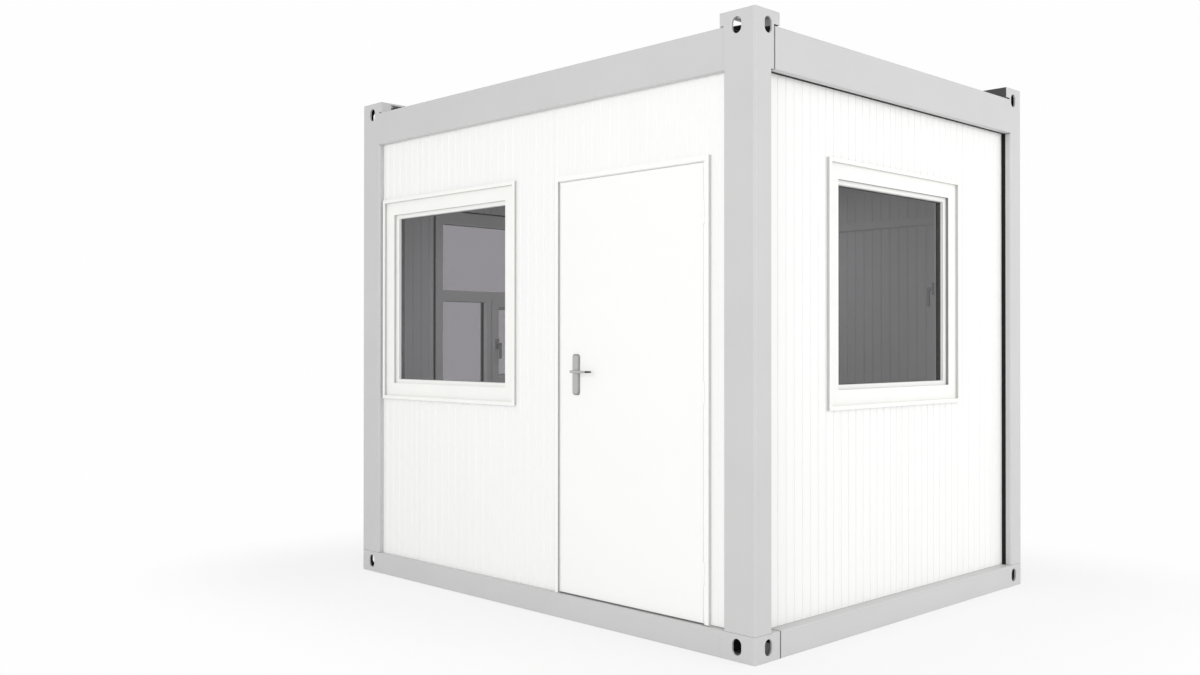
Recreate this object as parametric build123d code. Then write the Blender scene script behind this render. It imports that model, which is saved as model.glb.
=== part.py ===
"""Security guard booth: a welded steel frame cabin with sandwich panel walls.

Millimetres, +Z up. The origin is the centre of the plan at the level that the booth
stands on. The door side faces -Y and the end with the square window faces +X.
Every piece on a side is drawn in that side's own frame: x runs to the right as seen
from outside, y runs inwards from the outer face of the steel frame, z runs up.
"""
from build123d import *
import os

os.makedirs("parts", exist_ok=True)

# Overall steel frame
length = 2989.0
width = 2435.0
height = 2800.0
plate = 4.0
over = 1.0  # how far a cut runs past what it cuts

# Corner fittings and posts, measured along the long side and along the end
fitting_long = 194.0
fitting_end = 173.0
fitting_wall = 10.0
fitting_rise = 62.0
post_long = 175.0
post_end = 121.0
head_end = 133.0
roof_box_depth = head_end
post_lip = 33.0
post_round = 13.0
head_plate = 12.0
chamber_depth = 60.0

# Slots of the fittings
slot_width = 50.0
slot_tall = 72.0
slot_from_corner_long = 100.0
slot_from_corner_end = 92.0
floor_slot_level = 63.0
roof_slot_drop = 66.0
chamber_margin = 5.0
aperture_long = 124.0
aperture_wide = 63.5
cap_gap = 5.0
gusset_foot = 20.0
gusset_clear = 6.0

# Beams
floor_beam_height = 120.0
floor_beam_foot = 60.0
roof_beam_height = 190.0
roof_beam_lip = 32.0
roof_box_height = 138.0
bend_round = 6.0
seam_wide = 8.0
seam_deep = 3.0

# Walls
wall_thickness = 60.0
recess_long = 32.5
recess_end = 57.0

# Floor
underside_thickness = 2.0
underside_clearance = 1.0
deck_thickness = 20.0
covering_thickness = 2.0
joist_width = 50.0
joist_count = 6

# Roof
roof_sheet_thickness = 1.5
roof_rib_height = 30.0
roof_rib_pitch = 220.0
roof_rib_crown = 60.0
roof_rib_foot = 110.0
roof_drop = 6.0
purlin_width = 60.0
purlin_height = 80.0
purlin_count = 4
ceiling_thickness = 50.0
ceiling_drop = 110.0

# Windows
trim_width = 20.0
trim_proud = 17.0
frame_face = 74.0
frame_depth = 72.0
sash_recess = 17.0
sash_face = 22.0
sash_depth = 55.0
sash_hidden = 12.0
sash_lap = 23.0
sash_flange = 8.0
glass_bite = 11.0
glass_recess = 20.0
glass_thickness = 24.0
window_wide = 1209.0
window_tall = 1177.0
front_window_from_corner = 187.0
front_window_sill = 1038.0
end_window_centre = -4.7
end_window_sill = 1053.0
triple_window_wide = 1546.0
triple_window_tall = 1153.0
triple_face = 44.0
triple_head_face = 66.0
triple_sash_face = 44.0
triple_glass_recess = 12.0
mullion_width = 60.0
mullion_offset = 325.0
transom_width = 68.0
transom_level = 1666.0

# Window handles, on the room side
catch_length = 95.0
catch_width = 18.0
catch_round = 8.0
catch_base_tall = 66.0
catch_base_wide = 28.0
catch_base_thick = 8.0
catch_base_round = 7.0
catch_reach = 40.0
catch_from_edge = 5.0
catch_rise = 16.0
triple_catch_from_edge = 16.0
triple_catch_drop = 14.0

# Door
door_from_corner = 269.0
door_wide = 1004.0
door_trim_top = 2197.0
door_trim_proud = 20.0
door_trim_width = 20.0
door_head_trim = 24.0
leaf_from_latch_trim = 27.0
leaf_from_hinge_trim = 41.0
leaf_bottom = 126.0
leaf_top = 2168.0
leaf_face = 24.0
leaf_thickness = 45.0
leaf_gap = 5.0
leaf_edge_round = 2.0
hinge_jamb_face = 27.0
frame_bite = 8.0
stop_cover = 15.0
threshold_base = 1.0
threshold_stop = 20.0

# Door hinges
hinge_from_leaf = 11.0
hinge_axis_depth = 20.0
hinge_radius = 7.0
hinge_pin_radius = 3.5
hinge_knuckle = 34.0
hinge_gap = 0.3
hinge_from_end = 221.0
hinge_flag = 3.0
hinge_flag_wide = 26.0

# Door handle
lever_from_leaf_edge = 120.0
lever_level = 1226.0
lever_length = 132.0
lever_stand = 46.0
lever_return = 22.0
lever_bar_radius = 8.5
lever_bend = 12.0
lever_gap = 0.5
spindle_radius = 5.0
spindle_bite = 4.0
collar_radius = 11.0
collar_proud = 4.0
pin_clearance = 0.05
plate_wide = 47.0
plate_tall = 201.0
plate_thick = 10.0
plate_drop = 15.0
plate_round = 13.0

long_half = length / 2
end_half = width / 2
roof_top = height - fitting_rise
roof_underside = roof_top - roof_beam_height
wall_bottom = floor_beam_height
wall_top = roof_top - roof_box_height
door_trim_right = long_half - door_from_corner
door_trim_left = door_trim_right - door_wide
leaf_left = door_trim_left + leaf_from_latch_trim
leaf_right = door_trim_right - leaf_from_hinge_trim
TURN = {"front": 0, "right": 90, "back": 180, "left": 270}
HALF = {"front": end_half, "right": long_half, "back": end_half, "left": long_half}
RECESS = {"front": recess_long, "right": recess_end, "back": recess_long, "left": recess_end}
CORNERS = {
    "front_right": (1, 1),
    "front_left": (-1, 1),
    "back_right": (1, -1),
    "back_left": (-1, -1),
}


def block(x0, x1, y0, y1, z0, z1):
    """A box between two opposite corners."""
    middle = Pos((x0 + x1) / 2, (y0 + y1) / 2, (z0 + z1) / 2)
    return middle * Box(abs(x1 - x0), abs(y1 - y0), abs(z1 - z0))


def on_side(side, shape):
    """Carry a shape from a side's own frame to its place on the booth."""
    return Rot(0, 0, TURN[side]) * Pos(0, -HALF[side], 0) * shape


def outline(points):
    """A flat face through points (a, b, radius); a radius of zero keeps the corner sharp."""
    face = make_face(Polyline(*[(a, b) for a, b, r in points], close=True))
    for a, b, r in points:
        if r > 0:
            face = fillet(face.vertices().sort_by_distance(Vector(a, b, 0))[0], r)
    return face


def run_along_x(face, x0, x1):
    """Push a face drawn as (y, z) along x."""
    return extrude(Plane((x0, 0, 0), x_dir=(0, 1, 0), z_dir=(1, 0, 0)) * face, amount=x1 - x0)


def run_up(face, z0, z1):
    """Push a face drawn as (x, y) upwards."""
    return extrude(Pos(0, 0, z0) * face, amount=z1 - z0)


def to_corner(shape, corner):
    """Mirror a front right corner piece to another corner."""
    across, along = CORNERS[corner]
    if across < 0:
        shape = mirror(shape, Plane.YZ)
    if along < 0:
        shape = mirror(shape, Plane.XZ)
    return shape


def corner_block(u0, u1, v0, v1, z0, z1):
    """A box at the front right corner: u from the end face, v from the front face."""
    return block(long_half - u1, long_half - u0, -end_half + v0, -end_half + v1, z0, z1)


def slot_in_front(level):
    """Upright round-ended slot through the front plate of a corner fitting."""
    face = Rot(0, 0, 90) * SlotOverall(slot_tall, slot_width)
    place = Plane(
        (long_half - slot_from_corner_long, -end_half - over, level),
        x_dir=(1, 0, 0),
        z_dir=(0, 1, 0),
    )
    return extrude(place * face, amount=fitting_wall + 2 * over)


def slot_in_end(level, u0, u1):
    """Upright round-ended slot through the plates between u0 and u1 from the end face."""
    face = Rot(0, 0, 90) * SlotOverall(slot_tall, slot_width)
    place = Plane(
        (long_half - u1, -end_half + slot_from_corner_end, level),
        x_dir=(0, 1, 0),
        z_dir=(1, 0, 0),
    )
    return extrude(place * face, amount=u1 - u0)


def aperture(z0, z1):
    """Long hole in the flat plate of a corner fitting, along the long side."""
    centre = Pos(long_half - slot_from_corner_long, -end_half + slot_from_corner_end, z0)
    return extrude(centre * SlotOverall(aperture_long, aperture_wide), amount=z1 - z0)


def floor_fitting():
    """Hollow bottom corner fitting of the front right corner."""
    t = fitting_wall
    body = corner_block(0, fitting_long, 0, fitting_end, 0, floor_beam_height)
    upright = body.edges().filter_by(Axis.Z).sort_by_distance(Vector(long_half, -end_half, 0))[0]
    body = fillet(upright, post_round)
    body -= corner_block(t, fitting_long - t, t, fitting_end - t, t, floor_beam_height - t)
    body -= slot_in_front(floor_slot_level)
    body -= slot_in_end(floor_slot_level, -over, t + over)
    body -= aperture(-over, t + over)
    return body


def roof_fitting():
    """Top corner fitting: a box on the closed head of the post, with a gusset towards the middle."""
    t = fitting_wall
    slot_at = height - roof_slot_drop
    chamber_floor = slot_at - slot_tall / 2 - chamber_margin
    head = corner_block(0, post_long, 0, head_end, roof_underside, roof_top)
    head -= corner_block(
        plate, post_long + over, plate, head_end + over, roof_underside - over, wall_top
    )
    cap = corner_block(0, fitting_long, 0, fitting_end, roof_top, height)
    body = head + cap
    upright = body.edges().filter_by(Axis.Z).sort_by_distance(Vector(long_half, -end_half, height))[0]
    body = fillet(upright, post_round)
    body -= corner_block(t, fitting_long - t, t, fitting_end - t, roof_top, height - t)
    body -= corner_block(t, post_long - t, t, head_end - t, chamber_floor, roof_top + over)
    low = wall_top + head_plate
    body -= corner_block(t, post_long - t, t, head_end - t, low, chamber_floor - head_plate)
    body -= slot_in_front(slot_at)
    body -= slot_in_end(slot_at, -over, t + over)
    body -= corner_block(
        post_long, fitting_long + over, -over, fitting_end + over, roof_top - over, roof_top + cap_gap
    )
    body -= corner_block(
        -over, fitting_long + over, head_end, fitting_end + over, roof_top - over, roof_top + cap_gap
    )
    foot = roof_top + cap_gap
    top = height - t
    front = t - end_half
    back = fitting_end - t - end_half
    gusset = outline([
        (front, foot, 0), (front + gusset_foot, foot, 0), (back, top - gusset_clear, 0),
        (back, top, 0), (front, top, 0),
    ])
    body -= run_along_x(gusset, long_half - fitting_long - over, long_half - fitting_long + t + over)
    body -= aperture(height - t - over, height + over)
    return body


def post():
    """Folded corner post: two outer faces with lips that turn in to the walls."""
    t = plate
    r = post_round
    points = [
        (-post_lip, post_end, 0),
        (0, post_end, r),
        (0, 0, r),
        (-post_long, 0, r),
        (-post_long, recess_long, 0),
        (-post_long + t, recess_long, 0),
        (-post_long + t, t, r - t),
        (-t, t, r - t),
        (-t, post_end - t, r - t),
        (-post_lip, post_end - t, 0),
    ]
    face = Pos(long_half, -end_half) * outline(points)
    return run_up(face, floor_beam_height, roof_underside)


def open_front_seam(side, beam, half_run, z0, z1):
    """Sink an end beam's outer face beside the front fitting; the long sides have no seam."""
    if side in ("front", "back"):
        return beam
    towards_front = -1 if side == "right" else 1
    edge = towards_front * half_run
    inner = edge - towards_front * seam_wide
    return beam - block(edge, inner, -over, seam_deep, z0 - over, z1 + over)


def floor_beam(side):
    """Channel open to the inside; the wall stands on its top flange."""
    t = plate
    deep = RECESS[side] + wall_thickness
    points = [
        (0, 0, bend_round),
        (floor_beam_foot, 0, 0),
        (floor_beam_foot, t, 0),
        (t, t, bend_round - t),
        (t, floor_beam_height - t, bend_round - t),
        (deep, floor_beam_height - t, 0),
        (deep, floor_beam_height, 0),
        (0, floor_beam_height, bend_round),
    ]
    corner = fitting_long if side in ("front", "back") else fitting_end
    half_run = HALF["right" if side in ("front", "back") else "front"] - corner
    beam = run_along_x(outline(points), -half_run, half_run)
    return on_side(side, open_front_seam(side, beam, half_run, 0, floor_beam_height))


def roof_beam(side):
    """Box beam over the wall, with its outer face carried down to a lip over the wall's top."""
    t = plate
    low = roof_underside
    box_low = wall_top
    lip = recess_long if side in ("front", "back") else roof_beam_lip
    points = [
        (0, roof_top, bend_round),
        (0, low, bend_round),
        (lip, low, 0),
        (lip, low + t, 0),
        (t, low + t, bend_round - t),
        (t, box_low, 0),
        (roof_box_depth, box_low, 0),
        (roof_box_depth, roof_top, 0),
    ]
    face = outline(points)
    inside = make_face(
        Polyline(
            (t, box_low + t),
            (roof_box_depth - t, box_low + t),
            (roof_box_depth - t, roof_top - t),
            (t, roof_top - t),
            close=True,
        )
    )
    corner = post_long if side in ("front", "back") else head_end
    half_run = HALF["right" if side in ("front", "back") else "front"] - corner
    beam = run_along_x(face - inside, -half_run, half_run)
    return on_side(side, open_front_seam(side, beam, half_run, roof_underside, roof_top))


def ring(x0, x1, z0, z1, border, y0, y1):
    """A rectangular frame of one border width, standing in the plane of a wall."""
    outer = block(x0, x1, y0, y1, z0, z1)
    b = border
    return outer - block(x0 + b, x1 - b, y0 - over, y1 + over, z0 + b, z1 - b)


def window_hole(centre, sill, wide, tall):
    """Edges of the opening cut in the wall: it stays behind the outer trim."""
    bite = trim_width / 2
    return (centre - wide / 2 + bite, centre + wide / 2 - bite, sill + bite, sill + tall - bite)


def window_frame(recess, centre, sill, wide, tall):
    """Outer trim and the fixed frame in the wall, as one moulding."""
    x0, x1 = centre - wide / 2, centre + wide / 2
    z0, z1 = sill, sill + tall
    face_at = recess
    trim = ring(x0, x1, z0, z1, trim_width, face_at - trim_proud, face_at)
    bx0, bx1, bz0, bz1 = window_hole(centre, sill, wide, tall)
    border = frame_face + trim_width / 2
    fixed = ring(bx0, bx1, bz0, bz1, border, face_at, face_at + frame_depth)
    rebate_at = face_at + sash_recess
    inner = trim_width + frame_face - sash_hidden
    pocket = block(
        x0 + inner, x1 - inner, rebate_at, face_at + frame_depth + over, z0 + inner, z1 - inner
    )
    return trim + fixed - pocket


def clear_opening(centre, sill, wide, tall):
    """Inner edges of the fixed frame."""
    inner = trim_width + frame_face
    return (centre - wide / 2 + inner, centre + wide / 2 - inner, sill + inner, sill + tall - inner)


def sash(recess, x0, x1, z0, z1, face):
    """Opening light behind the clear opening's edges, with a flange that laps the frame inside."""
    h = sash_hidden
    lap = sash_lap
    face_at = recess + sash_recess
    back = face_at + sash_depth
    body = ring(x0 - h, x1 + h, z0 - h, z1 + h, h + face, face_at, back)
    body += ring(x0 - lap, x1 + lap, z0 - lap, z1 + lap, lap + face, back, back + sash_flange)
    return body - sash_glass(recess, x0, x1, z0, z1, face)


def sash_glass(recess, x0, x1, z0, z1, face):
    """Sealed double pane in the sash's pocket."""
    glass_at = recess + sash_recess + glass_recess
    g = face - glass_bite
    return block(x0 + g, x1 - g, glass_at, glass_at + glass_thickness, z0 + g, z1 - g)


def window_catch(recess, x, z):
    """Room-side handle: a base plate, a neck and a grip that hangs down."""
    at = recess + sash_recess + sash_depth + sash_flange
    base = block(
        x - catch_base_wide / 2,
        x + catch_base_wide / 2,
        at,
        at + catch_base_thick,
        z - catch_base_tall / 2,
        z + catch_base_tall / 2,
    )
    base = fillet(base.edges().filter_by(Axis.Y), catch_base_round)
    half = catch_width / 2
    neck = Pos(x, at + catch_reach / 2, z) * Rot(90, 0, 0) * Cylinder(half, catch_reach)
    grip = block(
        x - half, x + half, at + catch_reach - half, at + catch_reach, z - catch_length, z + half
    )
    grip = fillet(grip.edges().filter_by(Axis.Y), catch_round)
    return base + neck + grip


def wall_slab(side, x0, x1, z0, z1):
    """Sandwich panel wall between two edges of a side."""
    return block(x0, x1, RECESS[side], RECESS[side] + wall_thickness, z0, z1)


def save(name, shape):
    """Write one piece."""
    export_step(shape, "parts/" + name + ".step")


# Corner fittings and posts
for corner in CORNERS:
    save("floor_fitting_" + corner, to_corner(floor_fitting(), corner))
    save("roof_fitting_" + corner, to_corner(roof_fitting(), corner))
    save("corner_post_" + corner, to_corner(post(), corner))

# Beams
for side in TURN:
    save("floor_beam_" + side, floor_beam(side))
    save("roof_beam_" + side, roof_beam(side))

# Floor: sheet below, joists across, deck and covering
deck_top = floor_beam_height
deck_long = long_half - recess_end - wall_thickness
deck_end = end_half - recess_long - wall_thickness
corner_cuts = [
    to_corner(corner_block(0, fitting_long, 0, fitting_end, 0, height), corner) for corner in CORNERS
]
sheet_in = bend_round + underside_clearance
underside = block(
    -long_half + sheet_in, long_half - sheet_in, -end_half + sheet_in, end_half - sheet_in,
    plate, plate + underside_thickness,
)
deck = block(-deck_long, deck_long, -deck_end, deck_end, deck_top - deck_thickness, deck_top)
for cut in corner_cuts:
    underside -= cut
    deck -= cut
save("underfloor_sheet", underside)
save("floor_deck", deck)
covering = block(-deck_long, deck_long, -deck_end, deck_end, deck_top, deck_top + covering_thickness)
save("floor_covering", covering)

joist_low = plate + underside_thickness
joist_reach = end_half - plate
first_joist = long_half - fitting_long - joist_width
joist_step = 2 * first_joist / (joist_count - 1)
joists = []
for k in range(joist_count):
    x = -first_joist + k * joist_step
    outer = block(
        x - joist_width / 2, x + joist_width / 2, -joist_reach, joist_reach, joist_low,
        deck_top - deck_thickness,
    )
    inner = block(
        x - joist_width / 2 + plate, x + joist_width / 2 - plate, -joist_reach - over,
        joist_reach + over, joist_low + plate, deck_top - deck_thickness - plate,
    )
    joists.append(outer - inner)
save("floor_joists", Compound(children=joists))

# Walls
front_window_centre = -long_half + front_window_from_corner + window_wide / 2
window_x0, window_x1, window_z0, window_z1 = window_hole(
    front_window_centre, front_window_sill, window_wide, window_tall
)
end_x0, end_x1, end_z0, end_z1 = window_hole(
    end_window_centre, end_window_sill, window_wide, window_tall
)
triple_x0, triple_x1, triple_z0, triple_z1 = window_hole(
    -end_window_centre, end_window_sill, triple_window_wide, triple_window_tall
)
long_wall = long_half - recess_end
end_wall = end_half - recess_long - wall_thickness
door_hole_left = door_trim_left + door_trim_width - frame_bite
door_hole_right = door_trim_right - frame_bite
door_hole_top = door_trim_top - frame_bite


def cut_window(wall, edges):
    """Cut a window's opening through a wall."""
    x0, x1, z0, z1 = edges
    return wall - block(x0, x1, -over, recess_end + wall_thickness + over, z0, z1)


front_wall = wall_slab("front", -long_wall, door_hole_left, wall_bottom, wall_top)
front_wall = cut_window(front_wall, (window_x0, window_x1, window_z0, window_z1))
save("front_wall_window_side", on_side("front", front_wall))
over_door = wall_slab("front", door_hole_left, door_hole_right, door_hole_top, wall_top)
save("front_wall_over_door", on_side("front", over_door))
beside_door = wall_slab("front", door_hole_right, long_wall, wall_bottom, wall_top)
save("front_wall_beside_door", on_side("front", beside_door))
save("back_wall", on_side("back", wall_slab("back", -long_wall, long_wall, wall_bottom, wall_top)))
right_wall = wall_slab("right", -end_wall, end_wall, wall_bottom, wall_top)
save("right_wall", on_side("right", cut_window(right_wall, (end_x0, end_x1, end_z0, end_z1))))
left_wall = wall_slab("left", -end_wall, end_wall, wall_bottom, wall_top)
left_wall = cut_window(left_wall, (triple_x0, triple_x1, triple_z0, triple_z1))
save("left_wall", on_side("left", left_wall))

# Square windows of the front and the right end
catches = []
for side, centre, sill in (
    ("front", front_window_centre, front_window_sill),
    ("right", end_window_centre, end_window_sill),
):
    recess = RECESS[side]
    edges = clear_opening(centre, sill, window_wide, window_tall)
    frame = window_frame(recess, centre, sill, window_wide, window_tall)
    save(side + "_window_frame", on_side(side, frame))
    save(side + "_window_sash", on_side(side, sash(recess, *edges, sash_face)))
    save(side + "_window_glass", on_side(side, sash_glass(recess, *edges, sash_face)))
    catch_x = edges[1] - catch_from_edge
    catch = window_catch(recess, catch_x, sill + window_tall / 2 + catch_rise)
    catches.append(on_side(side, catch))

# Three-part window of the left end: a wide light over two narrow lights and a sash
triple_centre = -end_window_centre
recess = recess_end
bar_back = recess + frame_depth
hidden = sash_hidden
tx0 = triple_centre - triple_window_wide / 2 + trim_width + triple_face
tx1 = triple_centre + triple_window_wide / 2 - trim_width - triple_face
tz0 = end_window_sill + trim_width + triple_face
tz1 = end_window_sill + triple_window_tall - trim_width - triple_head_face
triple = ring(
    triple_centre - triple_window_wide / 2, triple_centre + triple_window_wide / 2,
    end_window_sill, end_window_sill + triple_window_tall, trim_width, recess - trim_proud, recess,
)
triple += block(triple_x0, triple_x1, recess, bar_back, triple_z0, triple_z1)
triple -= block(tx0, tx1, recess - over, bar_back + over, tz0, tz1)
triple += block(
    tx0 - over, tx1 + over, recess, bar_back, transom_level - transom_width / 2,
    transom_level + transom_width / 2,
)
middle = []
for hand in (-1, 1):
    x = triple_centre + hand * mullion_offset
    triple += block(
        x - mullion_width / 2, x + mullion_width / 2, recess, bar_back, tz0 - over,
        transom_level - transom_width / 2 + over,
    )
    middle.append(x - hand * mullion_width / 2)
sash_edges = (middle[0], middle[1], tz0, transom_level - transom_width / 2)
glass_at = recess + triple_glass_recess
upper = (tx0, tx1, transom_level + transom_width / 2, tz1)
narrow_left = (tx0, triple_centre - mullion_offset - mullion_width / 2, tz0, sash_edges[3])
narrow_right = (triple_centre + mullion_offset + mullion_width / 2, tx1, tz0, sash_edges[3])
panes = []
for x0, x1, z0, z1 in (upper, narrow_left, narrow_right):
    pane = block(
        x0 - glass_bite, x1 + glass_bite, glass_at, glass_at + glass_thickness, z0 - glass_bite,
        z1 + glass_bite,
    )
    panes.append(pane)
sash_space = block(
    sash_edges[0] - hidden, sash_edges[1] + hidden, recess + sash_recess, bar_back + over,
    sash_edges[2] - hidden, sash_edges[3] + hidden,
)
triple -= sash_space
for pane in panes:
    triple -= pane
save("left_window_frame", on_side("left", triple))
save("left_window_sash", on_side("left", sash(recess, *sash_edges, triple_sash_face)))
panes.append(sash_glass(recess, *sash_edges, triple_sash_face))
save("left_window_glass", on_side("left", Compound(children=panes)))
catch_x = sash_edges[1] - triple_catch_from_edge
catch = window_catch(recess, catch_x, (sash_edges[2] + sash_edges[3]) / 2 - triple_catch_drop)
catches.append(on_side("left", catch))
save("window_handles", Compound(children=catches))

# Door frame: trim, jambs with a stop behind the leaf, and a head
trim_at = recess_long - door_trim_proud
frame_back = recess_long + wall_thickness
stop_at = leaf_face + leaf_thickness + leaf_gap
trim_in_left = door_trim_left + door_trim_width
trim_in_right = door_trim_right - door_trim_width
trim_in_top = door_trim_top - door_head_trim
hinge_jamb = leaf_right + leaf_gap
stop_left = trim_in_left + stop_cover
stop_right = hinge_jamb - stop_cover
stop_top = trim_in_top - stop_cover
low = floor_beam_height
door_frame = block(door_trim_left, trim_in_left, trim_at, recess_long, low, door_trim_top)
door_frame += block(trim_in_right, door_trim_right, trim_at, recess_long, low, door_trim_top)
door_frame += block(door_trim_left, door_trim_right, trim_at, recess_long, trim_in_top, door_trim_top)
door_frame += block(door_hole_left, trim_in_left, recess_long, frame_back, low, door_hole_top)
door_frame += block(door_hole_left, stop_left, stop_at, frame_back, low, door_hole_top)
door_frame += block(hinge_jamb, door_hole_right, hinge_jamb_face, frame_back, low, door_hole_top)
door_frame += block(stop_right, door_hole_right, stop_at, frame_back, low, door_hole_top)
door_frame += block(
    door_hole_left, door_hole_right, recess_long, frame_back, trim_in_top, door_hole_top
)
door_frame += block(door_hole_left, door_hole_right, stop_at, frame_back, stop_top, door_hole_top)
save("door_frame", on_side("front", door_frame))
threshold = block(trim_in_left, hinge_jamb, trim_at, frame_back, low, low + threshold_base)
for x0, x1 in ((trim_in_left - over, stop_left), (stop_right, hinge_jamb + over)):
    threshold -= block(x0, x1, stop_at, frame_back + over, low - over, low + threshold_base + over)
threshold += block(stop_left, stop_right, stop_at, frame_back, low, low + threshold_stop)
save("door_threshold", on_side("front", threshold))

# Door leaf, bored for the spindle and the lock
lever_x = leaf_left + lever_from_leaf_edge
leaf = block(leaf_left, leaf_right, leaf_face, leaf_face + leaf_thickness, leaf_bottom, leaf_top)
leaf = fillet(leaf.edges().filter_by(Axis.Z), leaf_edge_round)


def bar_through(x, z, radius, y0, y1):
    """A round bar across the door between two depths."""
    return Pos(x, (y0 + y1) / 2, z) * Rot(90, 0, 0) * Cylinder(radius, y1 - y0)


bore = bar_through(
    lever_x, lever_level, spindle_radius + pin_clearance, leaf_face - over,
    leaf_face + leaf_thickness + over,
)
save("door_leaf", on_side("front", leaf - bore))

# Handle plates, one solid on each face of the leaf
plates = []
for hand in (-1, 1):
    seat = leaf_face if hand < 0 else leaf_face + leaf_thickness
    out = seat + hand * plate_thick
    near, far = min(seat, out), max(seat, out)
    middle_z = lever_level - plate_drop
    one = block(
        lever_x - plate_wide / 2, lever_x + plate_wide / 2, near, far, middle_z - plate_tall / 2,
        middle_z + plate_tall / 2,
    )
    one = fillet(one.edges().filter_by(Axis.Y), plate_round)
    one -= bar_through(lever_x, lever_level, collar_radius + pin_clearance, near - over, far + over)
    plates.append(one)
save("door_handle_plates", on_side("front", Compound(children=plates)))


def lever(hand):
    """Collar, neck and grip on one face of the leaf, with its end turned back to the door."""
    seat = leaf_face if hand < 0 else leaf_face + leaf_thickness
    root = seat + hand * lever_gap
    out = seat + hand * lever_stand
    collar_end = seat + hand * (plate_thick + collar_proud)
    neck = bar_through(lever_x, lever_level, collar_radius, min(root, collar_end), max(root, collar_end))
    tip = lever_x + lever_length - lever_bar_radius
    back = out - hand * lever_return
    path = FilletPolyline(
        (lever_x, root + hand * over, lever_level),
        (lever_x, out, lever_level),
        (tip, out, lever_level),
        (tip, back, lever_level),
        radius=lever_bend,
    )
    start = Plane(path @ 0, z_dir=path % 0)
    return neck + sweep(start * Circle(lever_bar_radius), path)


spindle = bar_through(
    lever_x, lever_level, spindle_radius, leaf_face - spindle_bite,
    leaf_face + leaf_thickness + spindle_bite,
)
save("door_lever", on_side("front", lever(-1) + lever(1) + spindle))

# Hinges: outer knuckles and pin on the frame, middle knuckle on the leaf
hinge_x = leaf_right + hinge_from_leaf
hinge_levels = (
    leaf_bottom + hinge_from_end, (leaf_bottom + leaf_top) / 2, leaf_top - hinge_from_end
)
fixed_hinges = []
leaf_hinges = []


def knuckle(radius, z0, z1):
    """An upright barrel on the hinge line."""
    return Pos(hinge_x, hinge_axis_depth, (z0 + z1) / 2) * Cylinder(radius, z1 - z0)


for level in hinge_levels:
    half = hinge_knuckle / 2
    ends = (level - half, level + half)
    whole = 1.5 * hinge_knuckle
    fixed = knuckle(hinge_radius, level - whole, ends[0])
    fixed += knuckle(hinge_radius, ends[1], level + whole)
    fixed += knuckle(hinge_pin_radius, level - whole, level + whole)
    for z0, z1 in ((level - whole, ends[0]), (ends[1], level + whole)):
        fixed += block(
            hinge_x - hinge_flag / 2, trim_in_right, hinge_axis_depth, hinge_jamb_face, z0, z1
        )
    fixed_hinges.append(fixed)
    z0, z1 = ends[0] + hinge_gap, ends[1] - hinge_gap
    moving = knuckle(hinge_radius, z0, z1)
    moving += block(
        leaf_right - hinge_flag_wide, hinge_x, leaf_face - hinge_flag, leaf_face, z0, z1
    )
    moving -= knuckle(hinge_pin_radius + pin_clearance, z0 - over, z1 + over)
    leaf_hinges.append(moving)
save("door_hinges_on_frame", on_side("front", Compound(children=fixed_hinges)))
save("door_hinges_on_leaf", on_side("front", Compound(children=leaf_hinges)))

# Ceiling, purlins and the ribbed roof sheet
ceiling_level = wall_top - ceiling_drop
ceiling = block(
    -deck_long, deck_long, -deck_end, deck_end, ceiling_level, ceiling_level + ceiling_thickness
)
save("ceiling", ceiling)
purlin_reach = end_half - roof_box_depth
sheet_low = roof_top - roof_drop - roof_rib_height - roof_sheet_thickness
sheet_long = long_half - roof_box_depth
first_purlin = sheet_long - roof_rib_pitch
purlin_step = 2 * first_purlin / (purlin_count - 1)
purlins = []
for k in range(purlin_count):
    x = -first_purlin + k * purlin_step
    purlins.append(
        block(
            x - purlin_width / 2, x + purlin_width / 2, -purlin_reach, purlin_reach,
            sheet_low - purlin_height, sheet_low,
        )
    )
save("roof_purlins", Compound(children=purlins))

rib_count = int(2 * sheet_long / roof_rib_pitch)
rib_margin = (2 * sheet_long - rib_count * roof_rib_pitch) / 2
lower = [(-sheet_long, 0)]
for k in range(rib_count):
    middle_x = -sheet_long + rib_margin + (k + 0.5) * roof_rib_pitch
    lower.append((middle_x - roof_rib_foot / 2, 0))
    lower.append((middle_x - roof_rib_crown / 2, roof_rib_height))
    lower.append((middle_x + roof_rib_crown / 2, roof_rib_height))
    lower.append((middle_x + roof_rib_foot / 2, 0))
lower.append((sheet_long, 0))
upper_line = [(x, z + roof_sheet_thickness) for x, z in reversed(lower)]
profile = make_face(Polyline(*(lower + upper_line), close=True))
sheet = extrude(Plane((0, purlin_reach, sheet_low), x_dir=(1, 0, 0), z_dir=(0, -1, 0)) * profile,
                amount=2 * purlin_reach)
save("roof_sheet", sheet)
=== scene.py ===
"""Looks of a steel-framed guard booth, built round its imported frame.

Each sub-assembly of the booth is a class. It draws its pieces in a side's own frame, in
millimetres: x runs to the right as seen from outside, y runs inwards from the steel
frame's outer face and z runs up. A side's matrix then carries them to the booth.
"""
from __future__ import annotations

import logging
import math
from dataclasses import dataclass, field
from enum import Enum, IntEnum

import bmesh
import bpy
from mathutils import Matrix, Vector


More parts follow.
